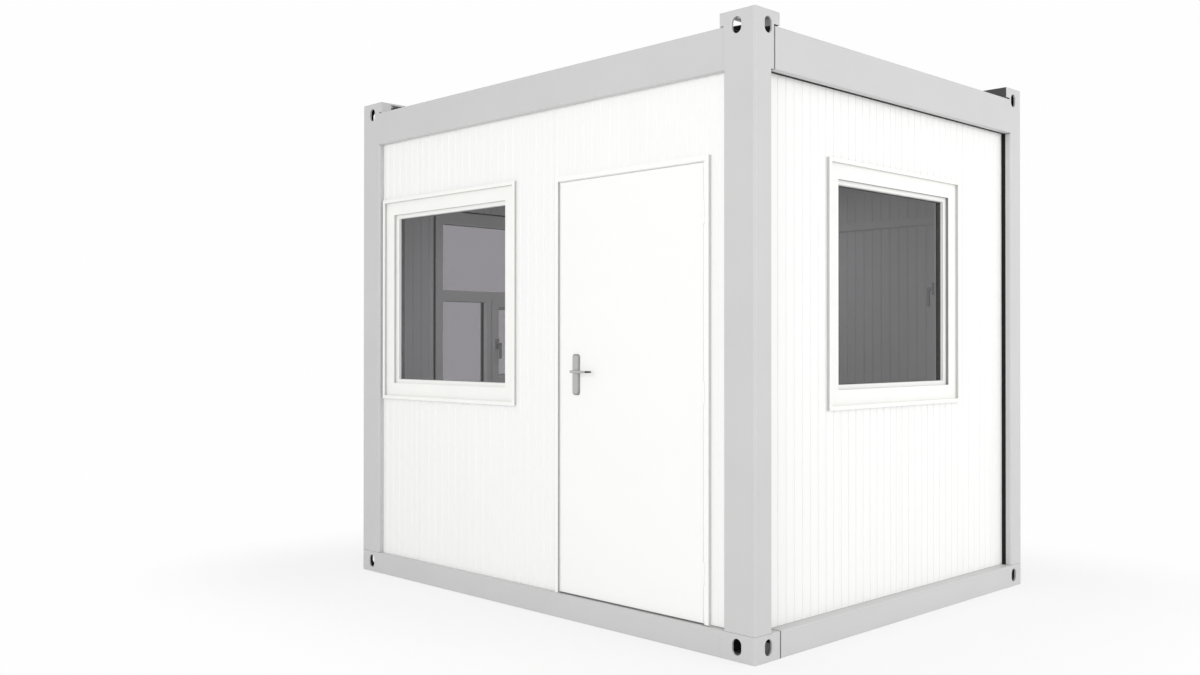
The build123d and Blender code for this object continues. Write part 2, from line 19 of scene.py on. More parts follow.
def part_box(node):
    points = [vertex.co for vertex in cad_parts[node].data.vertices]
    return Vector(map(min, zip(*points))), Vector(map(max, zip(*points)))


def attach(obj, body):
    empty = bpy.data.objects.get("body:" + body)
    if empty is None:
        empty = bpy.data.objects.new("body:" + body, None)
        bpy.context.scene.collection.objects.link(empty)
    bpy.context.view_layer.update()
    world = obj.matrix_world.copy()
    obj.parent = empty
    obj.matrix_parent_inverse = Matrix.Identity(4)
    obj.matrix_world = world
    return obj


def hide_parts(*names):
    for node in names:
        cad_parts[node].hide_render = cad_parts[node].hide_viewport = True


LOG = logging.getLogger("booth")
MM = 0.001
CABIN, DOOR, LEVER = "cabin", "door", "lever"
SHARP_ABOVE_DEG = 40.0
FLAT_BELOW_DEG = 0.5
SAME_POINT_MM = 0.001
SAME_LEVEL_MM = 0.1

Tree = bpy.types.NodeTree
Socket = bpy.types.NodeSocket
Draft = bmesh.types.BMesh
Point = tuple[float, float]
Triple = tuple[float, float, float]


# Finishes


def linear(colour: str) -> tuple[float, float, float, float]:
    """Turn an sRGB hex colour into linear light.

    Args:
        colour: six hex digits after a hash sign.

    Returns:
        Linear red, green, blue and an alpha of 1.
    """
    parts = [int(colour[i : i + 2], 16) / 255 for i in (1, 3, 5)]
    light = [c / 12.92 if c <= 0.04045 else ((c + 0.055) / 1.055) ** 2.4 for c in parts]
    return (light[0], light[1], light[2], 1.0)


def add_node(tree: Tree, kind: str, inputs: dict | None = None, **settings) -> bpy.types.Node:
    """Add one node with its settings, values and links.

    Args:
        tree: the node tree that takes the node.
        kind: the node's type name.
        inputs: sockets by name or index, each with a value or the output that feeds it.
        settings: the node's own properties.

    Returns:
        The new node.
    """
    node = tree.nodes.new(kind)
    for name, value in settings.items():
        setattr(node, name, value)
    for name, value in (inputs or {}).items():
        if isinstance(value, Socket):
            tree.links.new(value, node.inputs[name])
        else:
            node.inputs[name].default_value = value
    return node


def emptied(owner: bpy.types.ID) -> Tree:
    """Turn on nodes and take out the ones that come with them.

    Args:
        owner: a material or the world.

    Returns:
        Its empty node tree.
    """
    owner.use_nodes = True
    owner.node_tree.nodes.clear()
    return owner.node_tree


class Pattern(Enum):
    """Kinds of random pattern, each with the type name of its node."""

    CLOUD = "ShaderNodeTexNoise"
    CELLS = "ShaderNodeTexVoronoi"


@dataclass(frozen=True)
class Grain:
    """A random pattern: its lumps' width, how far they stand up and how they are drawn out."""

    size_mm: float
    depth_mm: float = 0.0
    detail: float = 2.0
    stretch: Triple = (1, 1, 1)
    pattern: Pattern = Pattern.CLOUD

    def value(self, tree: Tree, part: str = "Red") -> Socket:
        """Draw the pattern over a piece.

        Args:
            tree: the node tree that takes it.
            part: which of the random parts of a cell's colour is read.

        Returns:
            The pattern's value, from 0 to 1.
        """
        coordinates = add_node(tree, "ShaderNodeTexCoord")
        where = add_node(
            tree, "ShaderNodeMapping", {"Vector": coordinates.outputs["Object"], "Scale": self.stretch}
        )
        inputs = {"Vector": where.outputs["Vector"], "Scale": 1 / (self.size_mm * MM)}
        if self.pattern is Pattern.CLOUD:
            inputs["Detail"] = self.detail
            return add_node(tree, self.pattern.value, inputs).outputs["Fac"]
        cells = add_node(tree, self.pattern.value, inputs)
        return add_node(tree, "ShaderNodeSeparateColor", {"Color": cells.outputs["Color"]}).outputs[part]


# Scratches and pores are finer than this on the real metal and foam; they are drawn as coarse as shows
BRUSHED_UPWARDS = Grain(0.6, 0.01, 3.0, (1, 1, 0.04))
BRUSHED_ALONG = Grain(0.6, 0.01, 3.0, (0.04, 1, 1))
OPEN_PORES = Grain(1.5, 0.03, 3.0)
PLY_GRAIN = Grain(8.0, 0.05, 4.0, (0.08, 1, 1))


@dataclass(frozen=True)
class Finish:
    """A surface by its real material, with the shader values and patterns that every finish has."""

    name: str
    colour: str
    roughness: float
    ior: float = 1.5
    metallic: float = 0.0
    shade: str = ""
    tones: Grain | None = None
    skins: tuple[Grain, ...] = ()

    def material(self) -> bpy.types.Material:
        """Make the material, or give back the one that was made before.

        Returns:
            The finish's material.
        """
        made = bpy.data.materials.get(self.name)
        if made is None:
            made = bpy.data.materials.new(self.name)
            made.diffuse_color = linear(self.colour)
            tree = emptied(made)
            add_node(tree, "ShaderNodeOutputMaterial", {"Surface": self.surface(tree)})
        return made

    def surface(self, tree: Tree) -> Socket:
        """Build the shader: its colour runs to the shade with the tones, and each skin raises it.

        Args:
            tree: the material's node tree.

        Returns:
            The output that the surface shows.
        """
        shader = add_node(
            tree,
            "ShaderNodeBsdfPrincipled",
            {
                "Base Color": linear(self.colour),
                "Roughness": self.roughness,
                "IOR": self.ior,
                "Metallic": self.metallic,
            },
        )
        if self.tones:
            tint = {"Factor": self.tones.value(tree), 6: linear(self.colour), 7: linear(self.shade)}
            mix = add_node(tree, "ShaderNodeMix", tint, data_type="RGBA")
            tree.links.new(mix.outputs[2], shader.inputs["Base Color"])
        below = {}
        for skin in self.skins:
            raised = {"Height": skin.value(tree), "Distance": skin.depth_mm * MM}
            bump = add_node(tree, "ShaderNodeBump", raised | below)
            below = {"Normal": bump.outputs["Normal"]}
            tree.links.new(bump.outputs["Normal"], shader.inputs["Normal"])
        return shader.outputs[0]


@dataclass(frozen=True)
class SprayedSteel(Finish):
    """Welded steel under a sprayed coat: an even satin colour with a shallow orange peel."""

    shade: str = "#C6C6C6"
    tones: Grain | None = Grain(350.0)
    skins: tuple[Grain, ...] = (Grain(2.5, 0.02),)


@dataclass(frozen=True)
class CoilCoatedSheet(Finish):
    """Roll-formed steel sheet, lacquered on the coil: flat, with a slow wave from the foam core."""

    shade: str = "#F5F5F4"
    tones: Grain | None = Grain(260.0, stretch=(1, 1, 0.25))
    skins: tuple[Grain, ...] = (Grain(260.0, 0.05, 0.0, (1, 1, 0.25)), Grain(1.2, 0.006))


@dataclass(frozen=True)
class ExtrudedPvc(Finish):
    """Window profile extruded in white PVC: smooth gloss with a faint wave."""

    shade: str = "#F3F4F1"
    tones: Grain | None = Grain(180.0)
    skins: tuple[Grain, ...] = (Grain(3.0, 0.004, 0.0),)


@dataclass(frozen=True)
class BrushedMetal(Finish):
    """Bare or anodised metal, brushed one way: fine scratches that spread the shine across them."""

    metallic: float = 1.0
    shade: str = "#A9AAAA"
    tones: Grain | None = BRUSHED_UPWARDS
    skins: tuple[Grain, ...] = (BRUSHED_UPWARDS,)


@dataclass(frozen=True)
class Galvanised(Finish):
    """Hot-dip zinc on sheet: flat spangles, each with its own tone and sheen."""

    metallic: float = 1.0
    shade: str = "#B4B8BA"
    tones: Grain | None = Grain(12.0, pattern=Pattern.CELLS)
    sheen: Point = (0.3, 0.5)

    def surface(self, tree: Tree) -> Socket:
        """Build the shader, with a roughness of its own for each spangle.

        Args:
            tree: the material's node tree.

        Returns:
            The output that the surface shows.
        """
        shader = super().surface(tree)
        low, high = self.sheen
        spread = {"Value": self.tones.value(tree, "Green"), "To Min": low, "To Max": high}
        rough = add_node(tree, "ShaderNodeMapRange", spread)
        tree.links.new(rough.outputs["Result"], shader.node.inputs["Roughness"])
        return shader


@dataclass(frozen=True)
class Rubber(Finish):
    """EPDM or foam seal: matt, with a fine open skin."""

    skins: tuple[Grain, ...] = (OPEN_PORES,)


@dataclass(frozen=True)
class SheetVinyl(Finish):
    """Calendered vinyl floor covering: matt grey with small chips of lighter greys."""

    tones: Grain | None = Grain(4.0, pattern=Pattern.CELLS)
    skins: tuple[Grain, ...] = (Grain(2.0, 0.02),)


@dataclass(frozen=True)
class FilmPly(Finish):
    """Film-faced plywood: brown film over long grain."""

    shade: str = "#7E6244"
    tones: Grain | None = PLY_GRAIN
    skins: tuple[Grain, ...] = (PLY_GRAIN,)


@dataclass(frozen=True)
class TintedGlass(Finish):
    """Float glass in a sealed grey unit: it mirrors a little, more at a slant, and dims what is behind."""

    let_through: str = "#DCDBDD"
    mirror_head_on: float = 0.04
    slant_power: float = 5.0

    def surface(self, tree: Tree) -> Socket:
        """Build the shader. A flat pane doesn't shift what is behind it, so light goes straight through.

        Args:
            tree: the material's node tree.

        Returns:
            The output that the surface shows.
        """
        clear = add_node(tree, "ShaderNodeBsdfTransparent", {"Color": linear(self.let_through)})
        shine = {"Color": linear(self.colour), "Roughness": self.roughness}
        gloss = add_node(tree, "ShaderNodeBsdfGlossy", shine)
        slant = add_node(tree, "ShaderNodeLayerWeight", {"Blend": 0.5})
        rise = {0: slant.outputs["Facing"], 1: self.slant_power}
        steep = add_node(tree, "ShaderNodeMath", rise, operation="POWER")
        reach = {"Value": steep.outputs[0], "To Min": self.mirror_head_on}
        mirrored = add_node(tree, "ShaderNodeMapRange", reach)
        side = add_node(tree, "ShaderNodeNewGeometry")
        outside = {0: 1.0, 1: side.outputs["Backfacing"]}
        front = add_node(tree, "ShaderNodeMath", outside, operation="SUBTRACT")
        both = {0: mirrored.outputs["Result"], 1: front.outputs[0]}
        share = add_node(tree, "ShaderNodeMath", both, operation="MULTIPLY")
        parts = {0: share.outputs[0], 1: clear.outputs[0], 2: gloss.outputs[0]}
        return add_node(tree, "ShaderNodeMixShader", parts).outputs[0]


class Paints:
    """The booth's finishes."""

    FRAME = SprayedSteel("light_grey_sprayed_steel", "#CCCCCC", 0.42)
    # Inside the corner fittings: black and greys are painted shade, white is painted light
    INSIDE_SHADE_BLACK = SprayedSteel("black_painted_shade_steel", "#101010", 0.8, shade="#161616")
    INSIDE_SHADE_GREY = SprayedSteel("grey_painted_shade_steel", "#727272", 0.8, shade="#6C6C6C")
    SIDE_SHADE_DARK_GREY = SprayedSteel("dark_grey_painted_shade_steel", "#4A4A4A", 0.7, shade="#444444")
    INSIDE_LIGHT_WHITE = SprayedSteel("white_painted_light_steel", "#F4F4F4", 0.6, shade="#EEEEEE")
    WALL = CoilCoatedSheet("white_coil_coated_sheet", "#F8F8F7", 0.38)
    CEILING = CoilCoatedSheet("white_ceiling_sheet", "#F6F6F4", 0.45, shade="#F2F2F0")
    ROOF = CoilCoatedSheet("grey_white_roof_sheet", "#DADBDB", 0.4, shade="#D2D3D4")
    PVC = ExtrudedPvc("white_extruded_pvc", "#FAFAF7", 0.28)
    DOOR = SprayedSteel(
        "white_powder_coated_door", "#F9F9F7", 0.36, shade="#F7F7F5", skins=(Grain(1.8, 0.01),)
    )
    # Foam and seal greys at the trims' sides: a real seal, and partly painted shade
    TRIM_SEAL_SHADE = Rubber("light_grey_foam_seal_and_painted_shade", "#C9C9C7", 0.8)
    DARK_SEAL = Rubber("black_epdm_seal", "#080808", 0.9)
    # The rebate seal's grey is partly painted shade on the frame's return
    REBATE_SEAL_SHADE = Rubber("grey_epdm_rebate_seal_and_painted_shade", "#8E8E8D", 0.75)
    GLAZING_SEAL = Rubber("pale_glazing_seal", "#B6B6B4", 0.65)
    JOINT_SEAL = Rubber("grey_joint_sealant", "#949494", 0.6)
    FRAME_SEAL = Rubber("dark_grey_joint_sealant", "#626262", 0.6)
    # The door trim's foam in two greys, one per side: painted shade
    LATCH_FOAM_SHADE = Rubber("latch_side_foam_painted_shade", "#A8A8A8", 0.6)
    HINGE_FOAM_SHADE = Rubber("hinge_side_foam_painted_shade", "#D9D9D9", 0.8)
    # The black spacer is partly painted shade; its lighter aluminium copy below is painted light
    BLACK_SPACER_SHADE = Rubber("black_warm_edge_spacer_and_painted_shade", "#0C0C0D", 0.6)
    GLASS = TintedGlass("grey_tinted_float_glass", "#FFFFFF", 0.0)
    HANDLE = BrushedMetal("satin_anodised_aluminium", "#C6C5C4", 0.34, shade="#B2B1B0")
    SILL = BrushedMetal(
        "mill_finish_aluminium", "#C4C5C6", 0.4, shade="#B2B3B4", tones=BRUSHED_ALONG, skins=(BRUSHED_ALONG,)
    )
    CATCH = ExtrudedPvc("grey_coated_window_handle", "#BEBEBC", 0.4, shade="#B8B8B6")
    ZINC = Galvanised("hot_dip_galvanised_steel", "#C3C7C9", 0.4)
    # Painted shade on the handle plates' edges
    HANDLE_EDGE_SHADE = BrushedMetal("aluminium_edge_painted_shade", "#939393", 0.4, shade="#8A8A8A")
    # Painted dark reflection on the lever's turned-back end
    LEVER_END_REFLECTION = BrushedMetal("aluminium_painted_dark_reflection", "#4A4A4B", 0.22, shade="#404041")
    # A lighter copy of the spacer for the door side's window: painted light
    LIT_SPACER = BrushedMetal("aluminium_spacer_painted_light", "#A6A6A6", 0.45)
    VINYL = SheetVinyl("grey_sheet_vinyl", "#9EA0A1", 0.55, shade="#A9ABAC")
    PLY = FilmPly("film_faced_plywood", "#8F7150", 0.6)
    SCREW = BrushedMetal("zinc_plated_screw", "#B9BBBC", 0.35)


# Places and outlines


class Side(Enum):
    """The booth's four sides, each with its turn in degrees from the door side."""

    FRONT = 0
    RIGHT = 90
    BACK = 180
    LEFT = 270


@dataclass(frozen=True)
class Extent:
    """A box in a side's own frame, in mm."""

    x0: float
    x1: float
    y0: float
    y1: float
    z0: float
    z1: float

    def grown(self, by: float) -> Extent:
        """The same box with its x and z edges moved out by so many mm."""
        return Extent(self.x0 - by, self.x1 + by, self.y0, self.y1, self.z0 - by, self.z1 + by)


@dataclass
class Plan:
    """The booth's outline, read from its corner posts, and the way from a side's frame to the booth."""

    half_long: float = 0.0
    half_end: float = 0.0

    def __post_init__(self) -> None:
        """Read the outline from one post's box."""
        low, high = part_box("corner_post_front_right")
        self.half_long = high.x / MM
        self.half_end = -low.y / MM

    def half(self, side: Side) -> float:
        """Distance from the booth's middle to a side's outer face, in mm."""
        return self.half_end if side in (Side.FRONT, Side.BACK) else self.half_long

    def matrix(self, side: Side) -> Matrix:
        """Carries a side's own frame in mm to the booth's frame in metres."""
        turn = Matrix.Rotation(math.radians(side.value), 4, "Z")
        return turn @ Matrix.Scale(MM, 4) @ Matrix.Translation((0, -self.half(side), 0))

    def extent(self, side: Side, node: str) -> Extent:
        """Find a node's box in a side's own frame.

        Args:
            side: the side.
            node: the node's name.

        Returns:
            The box, in mm.
        """
        back = self.matrix(side).inverted()
        a, b = (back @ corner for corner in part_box(node))
        xs, ys, zs = (sorted(pair) for pair in zip(a, b))
        return Extent(xs[0], xs[1], ys[0], ys[1], zs[0], zs[1])

    def wall(self, side: Side) -> Extent:
        """The box of a side's wall, or of the slab with the window on the door side."""
        name = "front_wall_window_side" if side is Side.FRONT else side.name.lower() + "_wall"
        return self.extent(side, name)


def arc(before: Vector, corner: Vector, after: Vector, radius: float, steps: int) -> list[Vector]:
    """Find the arc that rounds a corner.

    Args:
        before: the last point before the corner.
        corner: the sharp corner.
        after: the next point after it.
        radius: the arc's radius.
        steps: straight pieces in the arc.

    Returns:
        The arc's points in order.
    """
    back, ahead = (before - corner).normalized(), (after - corner).normalized()
    half = back.angle(ahead) / 2
    reach = radius / math.tan(half)
    centre = corner + (back + ahead).normalized() * (radius / math.sin(half))
    start, end = corner + back * reach - centre, corner + ahead * reach - centre
    sweep = start.angle_signed(end)
    return [centre + Matrix.Rotation(-sweep * k / steps, 2) @ start for k in range(steps + 1)]


def rounded(points: list[Triple], steps: int = 5) -> list[Point]:
    """Round the corners of an outline.

    Args:
        points: corners as (a, b, radius); a radius of zero keeps the corner sharp.
        steps: straight pieces in each rounded corner.

    Returns:
        The outline's points in order.
    """
    corners = [Vector((a, b)) for a, b, _ in points]
    made: list[Point] = []
    for i, (a, b, radius) in enumerate(points):
        if radius <= 0:
            made.append((a, b))
            continue
        after = corners[(i + 1) % len(corners)]
        made += [tuple(point) for point in arc(corners[i - 1], corners[i], after, radius, steps)]
    return made


def even_turns(count: int) -> list[Point]:
    """Cosine and sine of so many even steps round a circle."""
    angles = (2 * math.pi * k / count for k in range(count))
    return [(math.cos(t), math.sin(t)) for t in angles]


# Mesh building


def add_loops(bm: Draft, loops: list[list[Vector]], closed: bool, paint: int = 0) -> None:
    """Skin a row of loops that all have as many points.

    Args:
        bm: the mesh that takes the faces.
        loops: points of each loop in order.
        closed: True joins the last loop to the first; False caps both ends.
        paint: material index of the skin.
    """
    rings = [[bm.verts.new(p) for p in loop] for loop in loops]
    size = len(rings[0])
    for one, two in zip(rings, rings[1:] + rings[:1] if closed else rings[1:]):
        for i in range(size):
            j = (i + 1) % size
            bm.faces.new((one[i], one[j], two[j], two[i])).material_index = paint
    if not closed:
        bm.faces.new(list(reversed(rings[0])))
        bm.faces.new(rings[-1])


def add_mitred_ring(bm: Draft, section: list[Point], edge: Extent, paint: int) -> None:
    """Run a section round a rectangle with mitred corners.

    Args:
        bm: the mesh that takes the faces.
        section: outline as (inset from the outer edge, depth), in mm.
        edge: the rectangle's outer edges; only x and z are read.
        paint: material index of the ring.
    """
    corners = ((edge.x0, 1, edge.z0, 1), (edge.x1, -1, edge.z0, 1), (edge.x1, -1, edge.z1, -1),
               (edge.x0, 1, edge.z1, -1))
    loops = [
        [Vector((x + sx * inset, depth, z + sz * inset)) for inset, depth in section]
        for x, sx, z, sz in corners
    ]
    add_loops(bm, loops, True, paint)


def add_run(bm: Draft, section: list[Point], axis: str, start: float, end: float) -> None:
    """Push a closed section along an axis, with capped ends.

    Args:
        bm: the mesh that takes the faces.
        section: outline as (y, z) for a run along x, or as (x, y) for one along z.
        axis: "x" or "z".
        start: where the run begins on its axis.
        end: where it ends.
    """
    loops = [
        [Vector((at, a, b) if axis == "x" else (a, b, at)) for a, b in section] for at in (start, end)
    ]
    add_loops(bm, loops, False)


def add_block(bm: Draft, box: Extent, ease: float = 0.0) -> None:
    """Add a box.

    Args:
        bm: the mesh that takes the faces.
        box: the box's extent.
        ease: how far back its edges are eased, in mm.
    """
    made = bmesh.ops.create_cube(bm, size=1.0)["verts"]
    size = (box.x1 - box.x0, box.y1 - box.y0, box.z1 - box.z0)
    middle = ((box.x0 + box.x1) / 2, (box.y0 + box.y1) / 2, (box.z0 + box.z1) / 2)
    bmesh.ops.scale(bm, verts=made, vec=size)
    bmesh.ops.translate(bm, verts=made, vec=middle)
    if ease > 0:
        edges = list({e for v in made for e in v.link_edges})
        bmesh.ops.bevel(bm, geom=edges, offset=ease, segments=2, profile=0.5, affect="EDGES")


def add_disc(bm: Draft, centre: Vector, radius: float, y0: float, y1: float) -> None:
    """Add a round boss across the wall, with both rims eased.

    Args:
        bm: the mesh that takes the faces.
        centre: the boss's middle; only x and z are read.
        radius: its radius.
        y0: depth of its outer face.
        y1: depth of its inner face.
    """
    ease, around = 0.5, 40
    profile = [(radius - ease, y0), (radius, y0 + ease), (radius, y1 - ease), (radius - ease, y1)]
    loops = [
        [Vector((centre.x + r * c, y, centre.z + r * s)) for c, s in even_turns(around)] for r, y in profile
    ]
    add_loops(bm, loops, False)


def add_tube(bm: Draft, path: list[Vector], radii: list[float]) -> None:
    """Add a round bar along a level path.

    Args:
        bm: the mesh that takes the faces.
        path: points of its centre line.
        radii: its radius at each of them.
    """
    around = 20
    loops = []
    for i, (point, radius) in enumerate(zip(path, radii)):
        tangent = (path[min(i + 1, len(path) - 1)] - path[max(i - 1, 0)]).normalized()
        side = tangent.cross(Vector((0, 0, 1))).normalized()
        top = side.cross(tangent)
        loops.append([point + (side * c + top * s) * radius for c, s in even_turns(around)])
    add_loops(bm, loops, False)


def add_grooved_slab(
    bm: Draft, slab: Extent, marks: list[Triple], hole: Extent | None = None, inner_share: float = 1.0
) -> None:
    """Add a slab with upright round-bottomed grooves on both faces and at most one opening.

    Args:
        bm: the mesh that takes the faces.
        slab: its outer box.
        marks: grooves as (centre, half width, depth).
        hole: the opening's edges, or None.
        inner_share: depth of the inner face's grooves for each mm of the outer face's.
    """
    shape = ((-1.0, 0.0), (-0.6, 0.35), (-0.25, 0.9), (0.25, 0.9), (0.6, 0.35), (1.0, 0.0))
    too_near = 0.4
    stations = {slab.x0: 0.0, slab.x1: 0.0}
    for centre, half, deep in marks:
        for share, depth in shape:
            stations[centre + share * half] = depth * deep
    if hole:
        for edge in (hole.x0, hole.x1):
            stations = {x: depth for x, depth in stations.items() if abs(x - edge) >= too_near}
            stations[edge] = 0.0
    xs = sorted(stations)
    zs = [slab.z0, hole.z0, hole.z1, slab.z1] if hole else [slab.z0, slab.z1]
    spots = [(i, k) for i in range(len(xs)) for k in range(len(zs))]
    outer, inner = (
        {(i, k): bm.verts.new((xs[i], y + share * stations[xs[i]], zs[k])) for i, k in spots}
        for y, share in ((slab.y0, 1.0), (slab.y1, -inner_share))
    )

    def solid(i: int, k: int) -> bool:
        """True where the cell between two stations and two levels is wall."""
        within = 0 <= i < len(xs) - 1 and 0 <= k < len(zs) - 1
        return within and not (hole and k == 1 and hole.x0 <= xs[i] < hole.x1)

    for i, k in (spot for spot in spots if solid(*spot)):
        ring = ((i, k), (i + 1, k), (i + 1, k + 1), (i, k + 1))
        bm.faces.new([outer[c] for c in ring])
        bm.faces.new([inner[c] for c in reversed(ring)])
        for n, beside in enumerate(((i, k - 1), (i + 1, k), (i, k + 1), (i - 1, k))):
            if not solid(*beside):
                a, b = ring[n], ring[(n + 1) % 4]
                bm.faces.new((outer[a], inner[a], inner[b], outer[b]))
    loose = [v for v in bm.verts if not v.link_faces]
    bmesh.ops.delete(bm, geom=loose, context="VERTS")


def soften(bm: Draft, width: float, flush_level: float | None = None) -> None:
    """Ease a shape's sharp edges.

    Args:
        bm: the mesh to ease.
        width: how far back from each edge, in mm.
        flush_level: edges at this level stay sharp, where the shape is ground flush to the next.
    """
    bend = math.radians(SHARP_ABOVE_DEG)
    sharp = [e for e in bm.edges if e.is_manifold and e.calc_face_angle() > bend]
    if flush_level is not None:
        sharp = [e for e in sharp if any(abs(v.co.z - flush_level) > SAME_LEVEL_MM for v in e.verts)]
    bmesh.ops.bevel(
        bm, geom=sharp, offset=width, segments=2, profile=0.5, affect="EDGES", clamp_overlap=True
    )


def put(name: str, data: bpy.types.ID) -> bpy.types.Object:
    """Put a new object in the scene.

    Args:
        name: the object's name.
        data: its mesh, lamp or camera.

    Returns:
        The object.
    """
    made = bpy.data.objects.new(name, data)
    bpy.context.scene.collection.objects.link(made)
    return made


def finish_piece(
    name: str,
    bm: Draft,
    matrix: Matrix,
    finishes: list[Finish],
    replaces: str | None = None,
    body: str = CABIN,
    smooth_below: float = 35.0,
) -> None:
    """Turn a drawn mesh into a piece of the booth.

    Args:
        name: the piece's name.
        bm: its mesh in a side's own frame, in mm; it is freed.
        matrix: from that frame to the booth's.
        finishes: one for each material index.
        replaces: the node that the piece stands for, if any.
        body: the body that it moves with.
        smooth_below: edges blunter than this many degrees are shaded smooth.
    """
    bmesh.ops.recalc_face_normals(bm, faces=bm.faces)
    bm.transform(matrix)
    mesh = bpy.data.meshes.new(name)
    bm.to_mesh(mesh)
    bm.free()
    for finish in finishes:
        mesh.materials.append(finish.material())
    mesh.shade_smooth()
    mesh.set_sharp_from_angle(angle=math.radians(smooth_below))
    piece = put(name, mesh)
    weigh_normals(piece)
    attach(piece, body)
    if replaces:
        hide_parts(replaces)
    LOG.info("%s: %d faces on %s", name, len(mesh.polygons), body)


def weigh_normals(piece: bpy.types.Object) -> None:
    """Let a piece's large faces stay flat in the light right up to their eased edges.

    Args:
        piece: the piece.
    """
    weigh = piece.modifiers.new("weighted_normals", "WEIGHTED_NORMAL")
    weigh.mode = "FACE_AREA"
    weigh.keep_sharp = True
    with bpy.context.temp_override(object=piece, active_object=piece, selected_objects=[piece]):
        bpy.ops.object.modifier_apply(modifier=weigh.name)


def block_piece(
    name: str, boxes: list[Extent], matrix: Matrix, finish: Finish, ease: float = 0.0, body: str = CABIN
) -> None:
    """Make a piece of plain boxes.

    Args:
        name: the piece's name.
        boxes: its boxes.
        matrix: from their frame to the booth's.
        finish: its finish.
        ease: how far back its edges are eased, in mm.
        body: the body that it moves with.
    """
    bm = bmesh.new()
    for box in boxes:
        add_block(bm, box, ease)
    finish_piece(name, bm, matrix, [finish], body=body)


def solid_copy(node: str) -> Draft:
    """Draw a node's own shape in mm, with the triangles of its flat faces merged.

    Args:
        node: the node's name.

    Returns:
        The mesh.
    """
    bm = bmesh.new()
    bm.from_mesh(FRAME["nodes"][node].data)
    bm.transform(Matrix.Scale(1 / MM, 4))
    bmesh.ops.remove_doubles(bm, verts=bm.verts, dist=SAME_POINT_MM)
    flat = math.radians(FLAT_BELOW_DEG)
    bmesh.ops.dissolve_limit(bm, angle_limit=flat, verts=bm.verts, edges=bm.edges)
    return bm


def eased_copy(node: str, finish: Finish, width: float, body: str = CABIN) -> None:
    """Stand in for a node with its own shape and eased edges.

    Args:
        node: the node's name.
        finish: its finish.
        width: how far back the edges are eased, in mm.
        body: the body that it moves with.
    """
    bm = solid_copy(node)
    soften(bm, width)
    finish_piece(node + "_eased", bm, Matrix.Scale(MM, 4), [finish], node, body)


def paint_node(node: str, finish: Finish) -> None:
    """Give a node whose shape is right its finish.

    Args:
        node: the node's name.
        finish: its finish.
    """
    piece = FRAME["nodes"][node]
    for slot in piece.material_slots:
        slot.material = finish.material()
    if not piece.material_slots:
        piece.data.materials.append(finish.material())
    LOG.info("%s: finished in %s", node, finish.name)


# Sub-assemblies


class Coat(IntEnum):
    """Colours of a corner fitting's faces, in the order of its finishes: the sprayed coat outside, and
    painted shade and painted light inside its hollow.
    """

    SPRAYED = 0
    PRIMED = 1
    PAINTED_LIGHT = 2
    SHOP_PRIMED = 3


